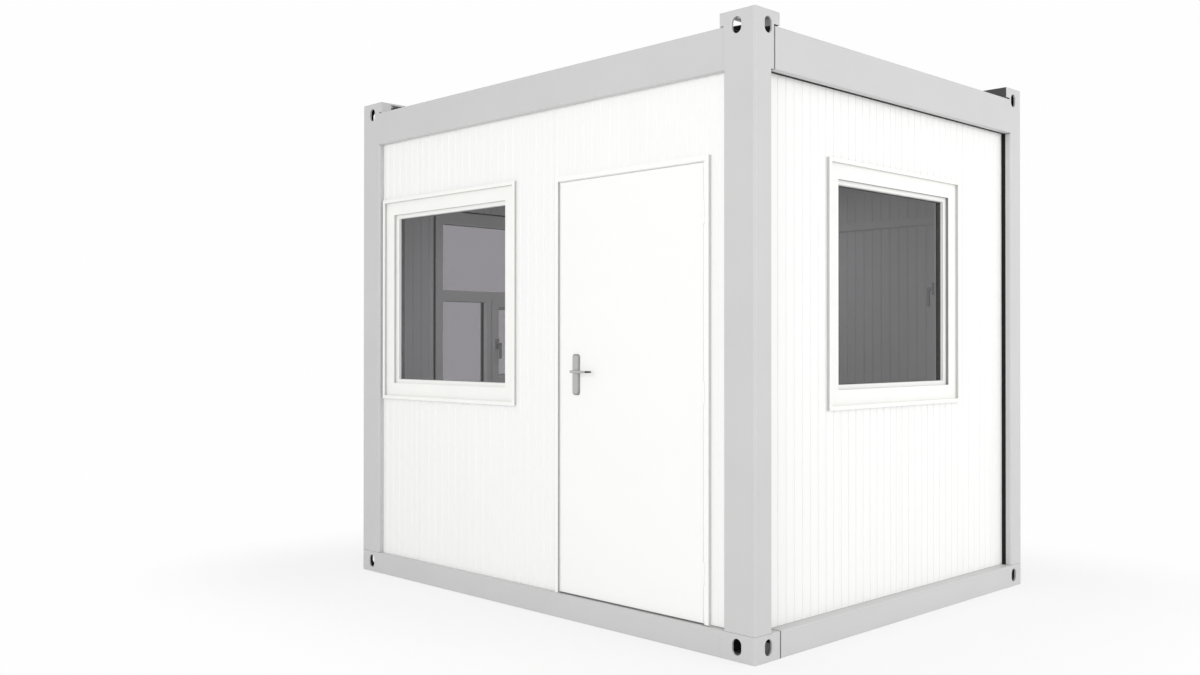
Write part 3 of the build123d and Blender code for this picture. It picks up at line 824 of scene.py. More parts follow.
@dataclass
class SteelFrame:
    """Posts and beams folded or rolled from plate, and the hollow corner fittings."""

    plan: Plan
    plate: float = 4.0
    post_bend: float = 13.0
    post_seam: float = 1.2
    beam_bend: float = 6.0
    floor_foot: float = 60.0
    eased: float = 1.5
    seam_wide: float = 8.0
    seam_sunk: float = 1.0
    fitting_wall: float = 10.0
    painted_light_below: float = 62.0
    cap_rise: float = 64.0
    cap_gap: float = 5.0
    web_wide: float = 68.0
    web_sunk: float = 0.3
    slack: float = 0.5
    facing: float = 0.9
    corners: tuple[str, ...] = ("front_right", "front_left", "back_right", "back_left")

    def build(self) -> None:
        """Make every piece of the frame."""
        for corner in self.corners:
            self.fitting("floor_fitting_" + corner)
            self.fitting("roof_fitting_" + corner)
            self.post(corner)
        for side in Side:
            self.floor_beam(side)
            self.roof_beam(side)
        for side in (Side.RIGHT, Side.LEFT):
            self.seam(side)
        self.cap_welds()

    def fitting(self, node: str) -> None:
        """Cast a hollow corner fitting, sprayed outside, with painted shade and painted light on the faces
        inside its hollow.

        Args:
            node: the fitting's name.
        """
        bm = solid_copy(node)
        low, high = (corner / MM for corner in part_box(node))
        roof = node.startswith("roof")
        # A floor fitting is cut at a level: below it the hollow's back takes painted light, above it painted
        # shade
        if not roof:
            cut = bm.verts[:] + bm.edges[:] + bm.faces[:]
            bmesh.ops.bisect_plane(bm, geom=cut, plane_co=(0, 0, self.painted_light_below), plane_no=(0, 0, 1))
        for face in bm.faces:
            face.material_index = self.coat(face, low, high, roof)
        soften(bm, self.eased, low.z if roof else None)
        # Painted shade is black in the top fittings and the nearest, grey in the other floor fittings;
        # painted light is white only in the nearest, frame grey elsewhere
        nearest = node.endswith("front_right")
        inside_shade = Paints.INSIDE_SHADE_BLACK if roof or nearest else Paints.INSIDE_SHADE_GREY
        coats = [Paints.FRAME, inside_shade, Paints.INSIDE_LIGHT_WHITE if nearest else Paints.FRAME, Paints.SIDE_SHADE_DARK_GREY]
        finish_piece(node + "_cast", bm, Matrix.Scale(MM, 4), coats, node)

    def coat(self, face: bmesh.types.BMFace, low: Vector, high: Vector, roof: bool) -> Coat:
        """Tell which colour a fitting's face has: the sprayed coat, or inside the hollow painted shade or
        painted light.

        Args:
            face: a face of the fitting.
            low: lowest corner of the fitting's box.
            high: highest corner of the fitting's box.
            roof: True for a top fitting.

        Returns:
            The coat.
        """
        at, normal, wall = face.calc_center_median(), face.normal, self.fitting_wall - self.slack
        from_end = self.plan.half_long - abs(at.x)
        from_side = self.plan.half_end - abs(at.y)
        wide, deep = high.x - low.x, high.y - low.y
        across, upward = abs(normal.y) > self.facing, normal.z > self.facing
        in_cap = at.z > high.z - self.cap_rise
        # The cap's inner long side facing the front is painted dark grey: painted shade
        if roof and from_side > deep - self.slack and across and in_cap:
            return Coat.SHOP_PRIMED
        inside = from_end > wall and from_side > wall and low.z + wall < at.z < high.z - wall
        if not inside or from_end > wide - self.slack or from_side > deep - self.slack:
            return Coat.SPRAYED
        # In the hollow: painted light on a top fitting's back and the underside of its top, and on a floor
        # fitting's upward faces and low back; painted shade on the rest, save the sprayed rim in a cap
        back = across and from_side > deep - 2 * wall
        if roof:
            under_top = normal.z < -self.facing and at.z > high.z - 2 * wall
            rest = Coat.SPRAYED if upward and in_cap else Coat.PRIMED
            return Coat.PAINTED_LIGHT if under_top or back else rest
        return Coat.PAINTED_LIGHT if (back and at.z < self.painted_light_below) or upward else Coat.PRIMED

    def post(self, corner: str) -> None:
        """Fold a corner post from plate, with lips that turn in to the walls.

        Args:
            corner: the corner's name.
        """
        node = "corner_post_" + corner
        low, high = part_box(node)
        wide, deep = (high.x - low.x) / MM, (high.y - low.y) / MM
        t, r, lip = self.plate, self.post_bend, self.lip()
        points = [
            (-lip, deep, 0), (0, deep, r), (0, 0, r), (-wide, 0, r), (-wide, lip, 0),
            (-wide + t, lip, 0), (-wide + t, t, r - t), (-t, t, r - t), (-t, deep - t, r - t),
            (-lip, deep - t, 0),
        ]
        bm = bmesh.new()
        add_run(bm, rounded(points, 6), "z", low.z / MM + self.post_seam, high.z / MM)
        to_corner = Matrix.Translation((self.plan.half_long, -self.plan.half_end, 0))
        mirror = Matrix.Diagonal((-1 if "left" in corner else 1, -1 if "back" in corner else 1, 1, 1))
        finish_piece(node + "_folded", bm, Matrix.Scale(MM, 4) @ mirror @ to_corner, [Paints.FRAME], node)

    def lip(self) -> float:
        """How far the lips of posts and roof beams turn in, which is to the door side's walls."""
        return self.plan.wall(Side.FRONT).y0

    def floor_beam(self, side: Side) -> None:
        """Roll a channel whose top flange carries the wall.

        Args:
            side: the side that it runs along.
        """
        node = "floor_beam_" + side.name.lower()
        e = self.plan.extent(side, node)
        t, r = self.plate, self.beam_bend
        points = [
            (0, 0, r), (self.floor_foot, 0, 0), (self.floor_foot, t, 0), (t, t, r - t),
            (t, e.z1 - t, r - t), (e.y1, e.z1 - t, 0), (e.y1, e.z1, 0), (0, e.z1, r),
        ]
        self.run_beam(side, node, points, e)

    def roof_beam(self, side: Side) -> None:
        """Roll a box beam over the wall, with its face carried down to a lip.

        Args:
            side: the side that it runs along.
        """
        node = "roof_beam_" + side.name.lower()
        e = self.plan.extent(side, node)
        wall_top = self.plan.wall(side).z1
        t, r, lip = self.plate, self.beam_bend, self.lip()
        points = [
            (0, e.z1, r), (0, e.z0, r), (lip, e.z0, 0), (lip, e.z0 + t, 0), (t, e.z0 + t, r - t),
            (t, wall_top, 0), (e.y1, wall_top, 0), (e.y1, e.z1, r),
        ]
        self.run_beam(side, node, points, e)

    def run_beam(self, side: Side, node: str, points: list[Triple], e: Extent) -> None:
        """Push a beam's section along its side, short of the seam beside the front fitting.

        Args:
            side: the side that it runs along.
            node: the beam's name.
            points: the section's corners as (depth, level, radius).
            e: the beam's box.
        """
        x0 = e.x0 + self.seam_wide if side is Side.RIGHT else e.x0
        x1 = e.x1 - self.seam_wide if side is Side.LEFT else e.x1
        bm = bmesh.new()
        add_run(bm, rounded(points), "x", x0, x1)
        finish_piece(node + "_rolled", bm, self.plan.matrix(side), [Paints.FRAME], node)

    def seam(self, side: Side) -> None:
        """Fill the open seams between an end's beams and its front fittings with sealant.

        Args:
            side: the end.
        """
        end = side.name.lower()
        floor, roof = (self.plan.extent(side, kind + end) for kind in ("floor_beam_", "roof_beam_"))
        sunk, wall_top = self.seam_sunk, self.plan.wall(side).z1
        boxes = []
        for e, deep, low, high in (
            (floor, self.floor_foot, floor.z0, floor.z1 - 1),
            (roof, roof.y1 - self.plate, wall_top, roof.z1 - 1),
            (roof, self.plate, roof.z0, wall_top),
        ):
            x0 = e.x0 if side is Side.RIGHT else e.x1 - self.seam_wide
            boxes.append(Extent(x0, x0 + self.seam_wide, sunk, deep, low + 1, high))
        block_piece(end + "_frame_seam", boxes, self.plan.matrix(side), Paints.FRAME_SEAL)

    def cap_welds(self) -> None:
        """Weld under the inner ends of the top fittings' caps, with a web in the left ones' gussets."""
        boxes = []
        level = self.plan.extent(Side.FRONT, "roof_beam_front").z1
        t, sunk = self.fitting_wall, self.web_sunk
        for name in self.corners:
            low, high = (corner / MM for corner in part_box("roof_fitting_" + name))
            x0, x1 = (low.x, low.x + t) if low.x > 0 else (high.x - t, high.x)
            boxes.append(Extent(x0, x1, low.y + 1, high.y - 1, level, level + self.cap_gap))
            if "left" in name:
                y0, y1 = low.y + t, low.y + self.web_wide
                if low.y > 0:
                    y0, y1 = high.y - self.web_wide, high.y - t
                z0, z1 = level + self.cap_gap - 1, high.z - t + 1
                boxes.append(Extent(x0 + sunk, x1 - sunk, y0 - 1, y1 + 1, z0, z1))
        block_piece("roof_cap_welds", boxes, Matrix.Scale(MM, 4), Paints.FRAME)


@dataclass
class RibbedWalls:
    """Sandwich walls: steel skins with narrow upright grooves, in panels set side by side."""

    plan: Plan
    panel: float = 1150.0
    first_groove: float = 89.5
    pitch: float = 61.44
    grooves: int = 17
    edge_groove: float = 26.5
    groove_half: float = 5.0
    groove_deep: float = 4.2
    inner_share: float = 1.4
    trim_bite: float = 10.0
    duct: Extent = Extent(-1370.0, 1370.0, 0.0, 22.0, 2071.0, 2120.0)
    duct_eased: float = 1.5
    joint_half: float = 1.2
    joint_deep: float = 3.0
    joint_at: dict[Side, float] = field(
        default_factory=lambda: {Side.FRONT: 195.5, Side.RIGHT: 14.5, Side.BACK: -195.5, Side.LEFT: -14.5}
    )

    def build(self) -> None:
        """Make the four walls and the duct on one of them."""
        self.wall(Side.FRONT, "front_wall_window_side", "front_window_frame")
        self.wall(Side.FRONT, "front_wall_over_door")
        self.wall(Side.FRONT, "front_wall_beside_door")
        self.wall(Side.BACK, "back_wall")
        self.wall(Side.RIGHT, "right_wall", "right_window_frame")
        self.wall(Side.LEFT, "left_wall", "left_window_frame")
        self.cable_duct()

    def cable_duct(self) -> None:
        """The pale strip along the inner face of the back wall, seen through the end window."""
        d, skin = self.duct, self.plan.wall(Side.BACK).y1
        box = Extent(d.x0, d.x1, skin + d.y0, skin + d.y1, d.z0, d.z1)
        block_piece("back_wall_cable_duct", [box], self.plan.matrix(Side.BACK), Paints.PVC, self.duct_eased)

    def groove_marks(self, side: Side, x0: float, x1: float) -> list[Triple]:
        """Set out the grooves and the panels' joints between two edges.

        Args:
            side: the wall's side.
            x0: left edge.
            x1: right edge.

        Returns:
            Each groove as (centre, half width, depth).
        """
        marks = []
        for k in range(-3, 4):
            joint = self.joint_at[side] + k * self.panel
            marks.append((joint, self.joint_half, self.joint_deep))
            centres = [joint - self.edge_groove, joint + self.edge_groove]
            centres += [joint + self.first_groove + i * self.pitch for i in range(self.grooves)]
            marks += [(at, self.groove_half, self.groove_deep) for at in centres]
        return sorted(m for m in marks if x0 + 2 * m[1] < m[0] < x1 - 2 * m[1])

    def wall(self, side: Side, node: str, window: str | None = None) -> None:
        """Make one wall slab with its grooves on both skins and its window's opening.

        Args:
            side: the wall's side.
            node: the wall's name.
            window: name of the window frame in it, whose trim laps over the opening.
        """
        e = self.plan.extent(side, node)
        hole = self.plan.extent(side, window).grown(-self.trim_bite) if window else None
        bm = bmesh.new()
        add_grooved_slab(bm, e, self.groove_marks(side, e.x0, e.x1), hole, self.inner_share)
        finish_piece(node + "_ribbed", bm, self.plan.matrix(side), [Paints.WALL], node, smooth_below=50)


@dataclass
class EndSeals:
    """Black foam seals that close the gap between the end walls and the lips of the frame."""

    plan: Plan
    thick: float = 14.0
    under_lip: float = 0.5
    foot_high: float = 3.0
    foot_proud: float = 1.0

    def build(self) -> None:
        """Make the seals of both ends."""
        self.seal(Side.RIGHT, "front_right", "back_right")
        self.seal(Side.LEFT, "back_left", "front_left")

    def seal(self, side: Side, first: str, last: str) -> None:
        """Seal behind both posts' lips and the roof beam's lip, and lay a bead along the wall's foot.

        Args:
            side: the end.
            first: corner at its left edge, as seen from outside.
            last: corner at its right edge.
        """
        name, matrix = side.name.lower(), self.plan.matrix(side)
        x0 = self.plan.extent(side, "corner_post_" + first).x1
        x1 = self.plan.extent(side, "corner_post_" + last).x0
        wall, top = self.plan.wall(side), self.plan.extent(side, "roof_beam_" + name).z0
        lip, t, u = self.plan.wall(Side.FRONT).y0, self.thick, self.under_lip
        boxes = [
            Extent(x0 - t, x0 - u, lip, wall.y0, wall.z0, top),
            Extent(x1 + u, x1 + t, lip, wall.y0, wall.z0, top),
            Extent(x0 - u, x1 + u, lip, wall.y0, top + 1, top + t),
        ]
        block_piece(name + "_wall_seals", boxes, matrix, Paints.DARK_SEAL)
        bead = Extent(x0 - u, x1 + u, wall.y0 - self.foot_proud, wall.y0, wall.z0, wall.z0 + self.foot_high)
        block_piece(name + "_wall_foot_bead", [bead], matrix, Paints.TRIM_SEAL_SHADE, 0.5)


@dataclass(frozen=True)
class WindowSizes:
    """Sizes of the window profiles, in mm; depths are from the wall's outer skin."""

    trim_wide: float = 20.0
    trim_proud: float = 17.0
    cap_thick: float = 3.0
    seal_back: float = 1.5
    frame_face: float = 74.0
    hole_bite: float = 10.0
    lip_deep: float = 2.5
    sash_at: float = 17.0
    sash_hidden: float = 12.0
    sash_face: float = 22.0
    sash_deep: float = 55.0
    sash_lap: float = 23.0
    sash_clear: float = 0.5
    flange_thick: float = 8.0
    flange_seal: float = 4.0
    glass_at: float = 37.0
    glass_thick: float = 24.0
    glass_bite: float = 11.0
    bead_wide: float = 15.0
    bead_back: float = 8.0
    edge_hidden: float = 3.0
    spacer_shows: float = 2.0
    spacer_clear: float = 0.3
    frame_deep: float = 72.0
    wall_thick: float = 60.0
    room_seal: float = 11.0
    room_seal_deep: Point = (1.5, 5.0)
    rebate_seal: Point = (0.5, 0.8)


@dataclass
class Window:
    """A window in a wall: cover trim over a foam seal, fixed frame, sash, seals and glass."""

    plan: Plan
    side: Side
    # Spacer and rebate seal: darker by default as painted shade, lighter on the door side's window where
    # more light falls
    spacer: Finish = Paints.BLACK_SPACER_SHADE
    rebate: Finish = Paints.REBATE_SEAL_SHADE
    sizes: WindowSizes = field(default_factory=WindowSizes)

    @property
    def prefix(self) -> str:
        """The side's name as the nodes have it."""
        return self.side.name.lower() + "_window_"

    def build(self) -> None:
        """Make the window's pieces."""
        s = self.sizes
        edge = self.plan.extent(self.side, self.prefix + "frame")
        face = edge.y0 + s.trim_proud
        self.trim(edge, face)
        self.fixed_frame(edge, face)
        self.lights(edge, face)
        paint_node(self.prefix + "glass", Paints.GLASS)

    def lights(self, edge: Extent, face: float) -> None:
        """Fill the fixed frame.

        Args:
            edge: the window's outer edges.
            face: depth of the frame's outer face.
        """
        self.sash(edge.grown(-(self.sizes.trim_wide + self.sizes.frame_face)), face)

    def trim(self, edge: Extent, face: float) -> None:
        """Cover the frame's edge with a white cap on a grey foam seal, whose grey is also painted shade at
        the trim's sides, and seal it in the room.

        Args:
            edge: the window's outer edges.
            face: depth of the frame's outer face.
        """
        s = self.sizes
        front, back = -s.trim_proud, s.cap_thick - s.trim_proud
        cap = rounded([(0, front, 1), (s.trim_wide, front, 1), (s.trim_wide, back, 0), (0, back, 0)], 3)
        near, far = s.seal_back, s.trim_wide - s.seal_back
        foam_and_shade = [(near, back), (far, back), (far, 0), (near, 0)]
        out, hole, room = s.hole_bite - s.room_seal, s.hole_bite, s.wall_thick
        thin, thick = s.room_seal_deep
        joint = [(out, room), (hole, room), (hole, room + thick), (out, room + thin)]
        finishes = [Paints.PVC, Paints.TRIM_SEAL_SHADE, Paints.DARK_SEAL]
        self.rings("trim", [edge], face, (cap, foam_and_shade, joint), finishes)

    def fixed_frame(self, edge: Extent, face: float) -> None:
        """Make the frame that stays in the wall, with the seal that the sash closes on.

        Args:
            edge: the window's outer edges.
            face: depth of the frame's outer face.
        """
        s = self.sizes
        inner = s.trim_wide + s.frame_face
        rebate = inner - s.sash_hidden
        profile = rounded(
            [(s.hole_bite, 0, 0), (inner, 0, 1.5), (inner, s.lip_deep, 0.5), (rebate, s.lip_deep, 0),
             (rebate, s.frame_deep, 2), (s.hole_bite, s.frame_deep, 0)], 3)
        # The rebate seal fills the frame's return to its full depth; its grey there is partly painted shade
        near, far = rebate + s.rebate_seal[0], inner - s.rebate_seal[1]
        seal = [(near, s.lip_deep), (far, s.lip_deep), (far, s.sash_at), (near, s.sash_at)]
        self.rings("frame_profile", [edge], face, (profile, seal), [Paints.PVC, self.rebate], "frame")

    def sash(self, light: Extent, face: float) -> None:
        """Make a sash behind the edges of an opening, with its flange, seals and glass spacer.

        Args:
            light: the opening's edges.
            face: depth of the frame's outer face.
        """
        s = self.sizes
        hidden = s.sash_hidden - s.sash_clear
        wide = hidden + s.sash_face
        glass_back = s.glass_at + s.glass_thick
        back = s.sash_at + s.sash_deep
        room, shut = back + s.flange_thick, back + s.flange_seal
        lap, bite = hidden - s.sash_lap, wide - s.glass_bite
        bead = min(s.bead_wide, s.sash_face - s.bead_back)
        profile = rounded(
            [(0, s.sash_at, 1), (wide - 4, s.sash_at, 2), (wide, s.sash_at + 3, 2), (wide, s.glass_at, 0),
             (bite, s.glass_at, 0), (bite, glass_back, 0), (wide, glass_back, 0), (wide, glass_back + 4, 1),
             (wide - bead, room, 2), (lap, room, 2), (lap, shut, 0.5), (0, shut, 0)], 3)
        seal = [(lap + 2, back), (0, back), (0, shut), (lap + 2, shut)]
        finishes = [Paints.PVC, Paints.DARK_SEAL]
        self.rings("sash_profile", [light.grown(hidden)], face, (profile, seal), finishes, "sash")
        self.glazing_edges("sash_glazing_edge", [light.grown(-s.sash_face)], face + s.glass_at)

    def glazing_edges(self, what: str, lights: list[Extent], glass: float) -> None:
        """Lay the glazing seal in front of panes and the spacer inside them.

        Args:
            what: the piece's name after the window's.
            lights: the edges within which each pane shows.
            glass: depth of the panes' outer face.
        """
        s = self.sizes
        seal = rounded([(0, -3.5, 0), (3.5, -3, 1), (4.2, -0.2, 0), (0, -0.2, 0)], 3)
        shown, near, far = s.edge_hidden + s.spacer_shows, s.spacer_clear, s.glass_thick - s.spacer_clear
        spacer = [(0, near), (shown, near), (shown, far), (0, far)]
        edges = [light.grown(s.edge_hidden) for light in lights]
        self.rings(what, edges, glass, (seal, spacer), [Paints.GLAZING_SEAL, self.spacer])

    def rings(
        self,
        what: str,
        edges: list[Extent],
        depth: float,
        sections: tuple[list[Point], ...],
        finishes: list[Finish],
        node: str | None = None,
    ) -> None:
        """Run sections round rectangles, as one piece of this window.

        Args:
            what: the piece's name after the window's.
            edges: the rectangles' outer edges.
            depth: depth from which the sections are drawn.
            sections: outlines as (inset, depth).
            finishes: one for each section.
            node: the node that the piece stands for, if any, by its name after the window's.
        """
        bm = bmesh.new()
        for edge in edges:
            for paint, section in enumerate(sections):
                add_mitred_ring(bm, [(a, depth + b) for a, b in section], edge, paint)
        stands_for = self.prefix + node if node else None
        finish_piece(self.prefix + what, bm, self.plan.matrix(self.side), finishes, stands_for)


@dataclass
class DividedWindow(Window):
    """The left end's window: a wide light over a transom, with a sash between two narrow lights."""

    sizes: WindowSizes = field(default_factory=lambda: WindowSizes(frame_face=44.0, sash_face=44.0))
    head_face: float = 66.0
    bar_wide: float = 60.0
    bar_bite: float = 3.0
    bar_eased: float = 2.0
    transom_wide: float = 68.0
    pane_at: float = 12.0

    def lights(self, edge: Extent, face: float) -> None:
        """Fill the fixed frame with bars, three fixed lights and the sash.

        Args:
            edge: the window's outer edges.
            face: depth of the frame's outer face.
        """
        s = self.sizes
        opening = self.plan.extent(self.side, self.prefix + "sash").grown(-s.sash_lap)
        head = edge.z1 - s.trim_wide - self.head_face
        self.bars(edge.grown(-(s.trim_wide + s.frame_face)), opening, head, face)
        self.sash(opening, face)

    def fixed_frame(self, edge: Extent, face: float) -> None:
        """Make the frame that stays in the wall.

        Args:
            edge: the window's outer edges.
            face: depth of the frame's outer face.
        """
        s = self.sizes
        inner, out = s.trim_wide + s.frame_face, s.hole_bite
        profile = rounded([(out, 0, 0), (inner, 0, 2), (inner, s.frame_deep, 2), (out, s.frame_deep, 0)], 3)
        self.rings("frame_profile", [edge], face, (profile,), [Paints.PVC], "frame")

    def bars(self, clear: Extent, opening: Extent, head: float, face: float) -> None:
        """Make the head, transom and mullions, and the seals and spacers of the three fixed lights.

        Args:
            clear: the edges within the fixed frame.
            opening: the sash's opening.
            head: level of the head's underside.
            face: depth of the frame's outer face.
        """
        deep, bite = face + self.sizes.frame_deep, self.bar_bite
        low, high = opening.z1, opening.z1 + self.transom_wide
        left, right = opening.x0 - self.bar_wide, opening.x1 + self.bar_wide
        boxes = [
            Extent(clear.x0 - bite, clear.x1 + bite, face, deep, low, high),
            Extent(clear.x0 - bite, clear.x1 + bite, face, deep, head, clear.z1 + bite),
            Extent(left, opening.x0, face, deep, clear.z0 - bite, low + bite),
            Extent(opening.x1, right, face, deep, clear.z0 - bite, low + bite),
        ]
        block_piece(self.prefix + "bars", boxes, self.plan.matrix(self.side), Paints.PVC, self.bar_eased)
        lights = [
            Extent(clear.x0, clear.x1, 0, 0, high, head),
            Extent(clear.x0, left, 0, 0, clear.z0, low),
            Extent(right, clear.x1, 0, 0, clear.z0, low),
        ]
        self.glazing_edges("fixed_glazing_edges", lights, face + self.pane_at)


@dataclass
class WindowHandles:
    """Room-side window handles: a rose with a flat grip that hangs down."""

    eased: float = 2.0

    def build(self) -> None:
        """Cast the handles from their solids with eased edges."""
        eased_copy("window_handles", Paints.CATCH, self.eased)


@dataclass
class DoorSet:
    """The door: frame with cover trim, leaf, seals, threshold, hinges and furniture."""

    plan: Plan
    frame_eased: float = 0.8
    leaf_eased: float = 1.2
    sill_eased: float = 0.4
    hinge_eased: float = 0.6
    trim_wide: float = 20.0
    head_trim: float = 24.0
    cap_thick: float = 3.0
    strip_thick: float = 0.8
    leaf_clear: float = 2.0
    foot_high: float = 4.0
    sweep_clear: float = 2.0
    sweep_depths: Point = (5.0, 9.0)
    bead_depths: Point = (0.6, 2.0)
    strip_bite: float = 0.2
    foam_sunk: float = 1.5
    packer_foot: float = 3.0
    hinge_gap: float = 5.5
    hinge_packer: Extent = Extent(0.6, 5.2, 3.2, 36.0, 0.0, 0.0)
    seal_lap: float = 9.0
    seal_depths: Point = (0.3, 5.0)
    seal_reach: Point = (6.5, 4.5)
    seal_foot: Triple = (2.0, 13.0, 16.0)
    plate_thick: float = 10.0
    plate_round: float = 13.0
    plate_bevel: float = 5.5
    collar_radius: float = 11.0
    spindle_radius: float = 5.0
    bar_radius: float = 7.2
    bar_tip: float = 4.6
    tip_share: float = 0.72
    bend: float = 14.0
    return_deep: float = 23.0
    painted_reflection_end: float = 30.0

    def build(self) -> None:
        """Make the door's pieces."""
        eased_copy("door_frame", Paints.DOOR, self.frame_eased)
        self.strips()
        self.seals()
        eased_copy("door_leaf", Paints.DOOR, self.leaf_eased, DOOR)
        eased_copy("door_threshold", Paints.SILL, self.sill_eased)
        eased_copy("door_hinges_on_frame", Paints.DOOR, self.hinge_eased)
        eased_copy("door_hinges_on_leaf", Paints.DOOR, self.hinge_eased, DOOR)
        self.plates()
        self.lever()

    def box(self, node: str) -> Extent:
        """A node's box in the door side's frame."""
        return self.plan.extent(Side.FRONT, node)

    def strips(self) -> None:
        """Foam that shows at the cover trim's sides, grey as painted shade in a tone for each side, white
        packers round the leaf, and beads at its foot.
        """
        frame, leaf = self.box("door_frame"), self.box("door_leaf")
        beside, over = self.box("front_wall_beside_door"), self.box("front_wall_over_door")
        bite, t, clear, sunk = self.strip_bite, self.strip_thick, self.leaf_clear, self.foam_sunk
        latch, hinge, inside = frame.x0 + self.trim_wide, frame.x1 + t, frame.z1 - self.head_trim
        near, flush, foot = frame.y0 + self.cap_thick, leaf.y0 + sunk, frame.z0 + self.packer_foot
        (proud, deep), (front, back), p = self.bead_depths, self.sweep_depths, self.hinge_packer
        base, gap = frame.z0 + self.sweep_clear, leaf.x1 + self.hinge_gap
        # The latch and hinge foams are one foam in two greys: painted shade, darker on the latch side
        strips = (
            ("latch_foam_and_painted_shade", Paints.LATCH_FOAM_SHADE, 0.2, CABIN, [
                Extent(latch - bite, latch + t, near + sunk, flush, frame.z0 + 1, inside),
            ]),
            ("latch_packer", Paints.DOOR, 0.3, CABIN, [
                Extent(latch - bite, leaf.x0 - clear, flush, leaf.y1, foot, inside),
                Extent(leaf.x0 - clear, leaf.x1 + 4, leaf.y0 + 0.5, leaf.y1, leaf.z1 + clear, inside + bite),
            ]),
            ("hinge_foam_and_painted_shade", Paints.HINGE_FOAM_SHADE, 0.2, CABIN, [
                Extent(frame.x1 - bite, hinge, near, over.y0, frame.z0 + 1, frame.z1),
            ]),
            ("side_foot_bead", Paints.JOINT_SEAL, 0.0, CABIN, [
                Extent(x0, x1, face - proud, face + deep, beside.z0, beside.z0 + self.foot_high)
                for x0, x1, face in ((gap, hinge, frame.y0), (hinge, beside.x1, beside.y0))
            ]),
            ("foot_sweep", Paints.JOINT_SEAL, 0.0, DOOR, [
                Extent(leaf.x0 + 2, leaf.x1 - 2, leaf.y0 + front, leaf.y0 + back, base, leaf.z0 + 1),
            ]),
            ("hinge_packer", Paints.DOOR, 0.3, CABIN, [
                Extent(leaf.x1 + p.x0, leaf.x1 + p.x1, leaf.y0 + p.y0, leaf.y0 + p.y1, foot, inside),
            ]),
        )
        for name, finish, ease, body, boxes in strips:
            block_piece("door_" + name, boxes, self.plan.matrix(Side.FRONT), finish, ease, body)

    def seals(self) -> None:
        """A black seal on the stop behind the leaf, along both jambs, the head and the foot."""
        leaf, lap = self.box("door_leaf"), self.seal_lap
        back, stop = (leaf.y1 + depth for depth in self.seal_depths)
        latch, hinge = self.seal_reach
        low, high, jamb = (leaf.z0 + level for level in self.seal_foot)
        left, right, top = leaf.x0 + lap, leaf.x1 - lap, leaf.z1 + hinge
        boxes = [
            Extent(leaf.x0 - latch, left, back, stop, jamb, top),
            Extent(right, leaf.x1 + hinge, back, stop, jamb, top),
            Extent(left, right, back, stop, leaf.z1 - lap, top),
            Extent(left, right, back, stop, low, high),
        ]
        block_piece("door_seal", boxes, self.plan.matrix(Side.FRONT), Paints.DARK_SEAL, 1.0)

    def plates(self) -> None:
        """Long handle plates with rounded corners, a broad bevel and a collar round the spindle."""
        box, leaf, lever = self.box("door_handle_plates"), self.box("door_leaf"), self.box("door_lever")
        middle = Vector(((box.x0 + box.x1) / 2, 0, (lever.z0 + lever.z1) / 2))
        middle_z = (box.z0 + box.z1) / 2
        half_wide, half_tall = (box.x1 - box.x0) / 2, (box.z1 - box.z0) / 2
        r = self.plate_round
        outline = rounded(
            [(box.x0, box.z0, r), (box.x1, box.z0, r), (box.x1, box.z1, r), (box.x0, box.z1, r)], 8)
        bm = bmesh.new()
        edges = []
        for outward, seat in ((-1, leaf.y0), (1, leaf.y1)):
            top = seat + outward * self.plate_thick
            rim = top - outward * self.plate_bevel
            edges.append(sorted((seat, top - outward * 0.2)))
            levels = (
                (0.0, seat), (0.0, rim), (1.2, rim + outward * 2.6), (3.4, top - outward * 0.9), (6.0, top),
            )
            loops = []
            for inset, y in levels:
                wide, tall = 1 - inset / half_wide, 1 - inset / half_tall
                loops.append([
                    Vector((middle.x + (a - middle.x) * wide, y, middle_z + (b - middle_z) * tall))
                    for a, b in outline
                ])
            add_loops(bm, loops, False)
            add_disc(bm, middle, self.collar_radius + 3, *sorted((top, top + outward * 2.0)))
        # The plates' sides and bevels take a darker finish: painted shade, in place of the bevel's highlight
        for face in bm.faces:
            depth = face.calc_center_median().y
            face.material_index = int(any(near < depth < far for near, far in edges))
        finishes = [Paints.HANDLE, Paints.HANDLE_EDGE_SHADE]
        matrix = self.plan.matrix(Side.FRONT)
        finish_piece("door_handle_plates_pressed", bm, matrix, finishes, "door_handle_plates", DOOR)

    def lever(self) -> None:
        """The lever handles on both faces, a round bar with its end turned back, and their spindle."""
        box, leaf = self.box("door_lever"), self.box("door_leaf")
        radius, collar = self.bar_radius, self.collar_radius
        x0, tip_x = box.x0 + collar, box.x1 - radius
        root = Vector((x0, 0, (box.z0 + box.z1) / 2))
        bm = bmesh.new()
        for outward, seat, reach in ((-1, leaf.y0, box.y0), (1, leaf.y1, box.y1)):
            out = reach - outward * radius
            start, end = seat + outward * 1.5, out - outward * self.return_deep
            bends = [(x0, start, 0), (x0, out, self.bend), (tip_x, out, self.bend), (tip_x, end, 0)]
            path = [Vector((*point, root.z)) for point in rounded(bends, 8)]
            along = [max(0.0, (p.x - x0) / (tip_x - x0)) for p in path]
            radii = [radius + (self.bar_tip - radius) * share ** 2 for share in along]
            radii[-1] *= self.tip_share
            path.insert(-1, path[-1].lerp(path[-2], min(1.0, 2.0 / (path[-1] - path[-2]).length)))
            radii.insert(-1, radii[-2])
            add_tube(bm, path, radii)
            add_disc(bm, root, collar, *sorted((seat + outward * 0.6, seat + outward * 14.0)))
        # The bar's turned-back end takes a dark finish: a painted dark reflection
        for face in bm.faces:
            face.material_index = int(face.calc_center_median().x > box.x1 - self.painted_reflection_end)
        add_disc(bm, root, self.spindle_radius, leaf.y0 - 3, leaf.y1 + 3)
        finishes = [Paints.HANDLE, Paints.LEVER_END_REFLECTION]
        finish_piece("door_lever_bars", bm, self.plan.matrix(Side.FRONT), finishes, "door_lever", LEVER)


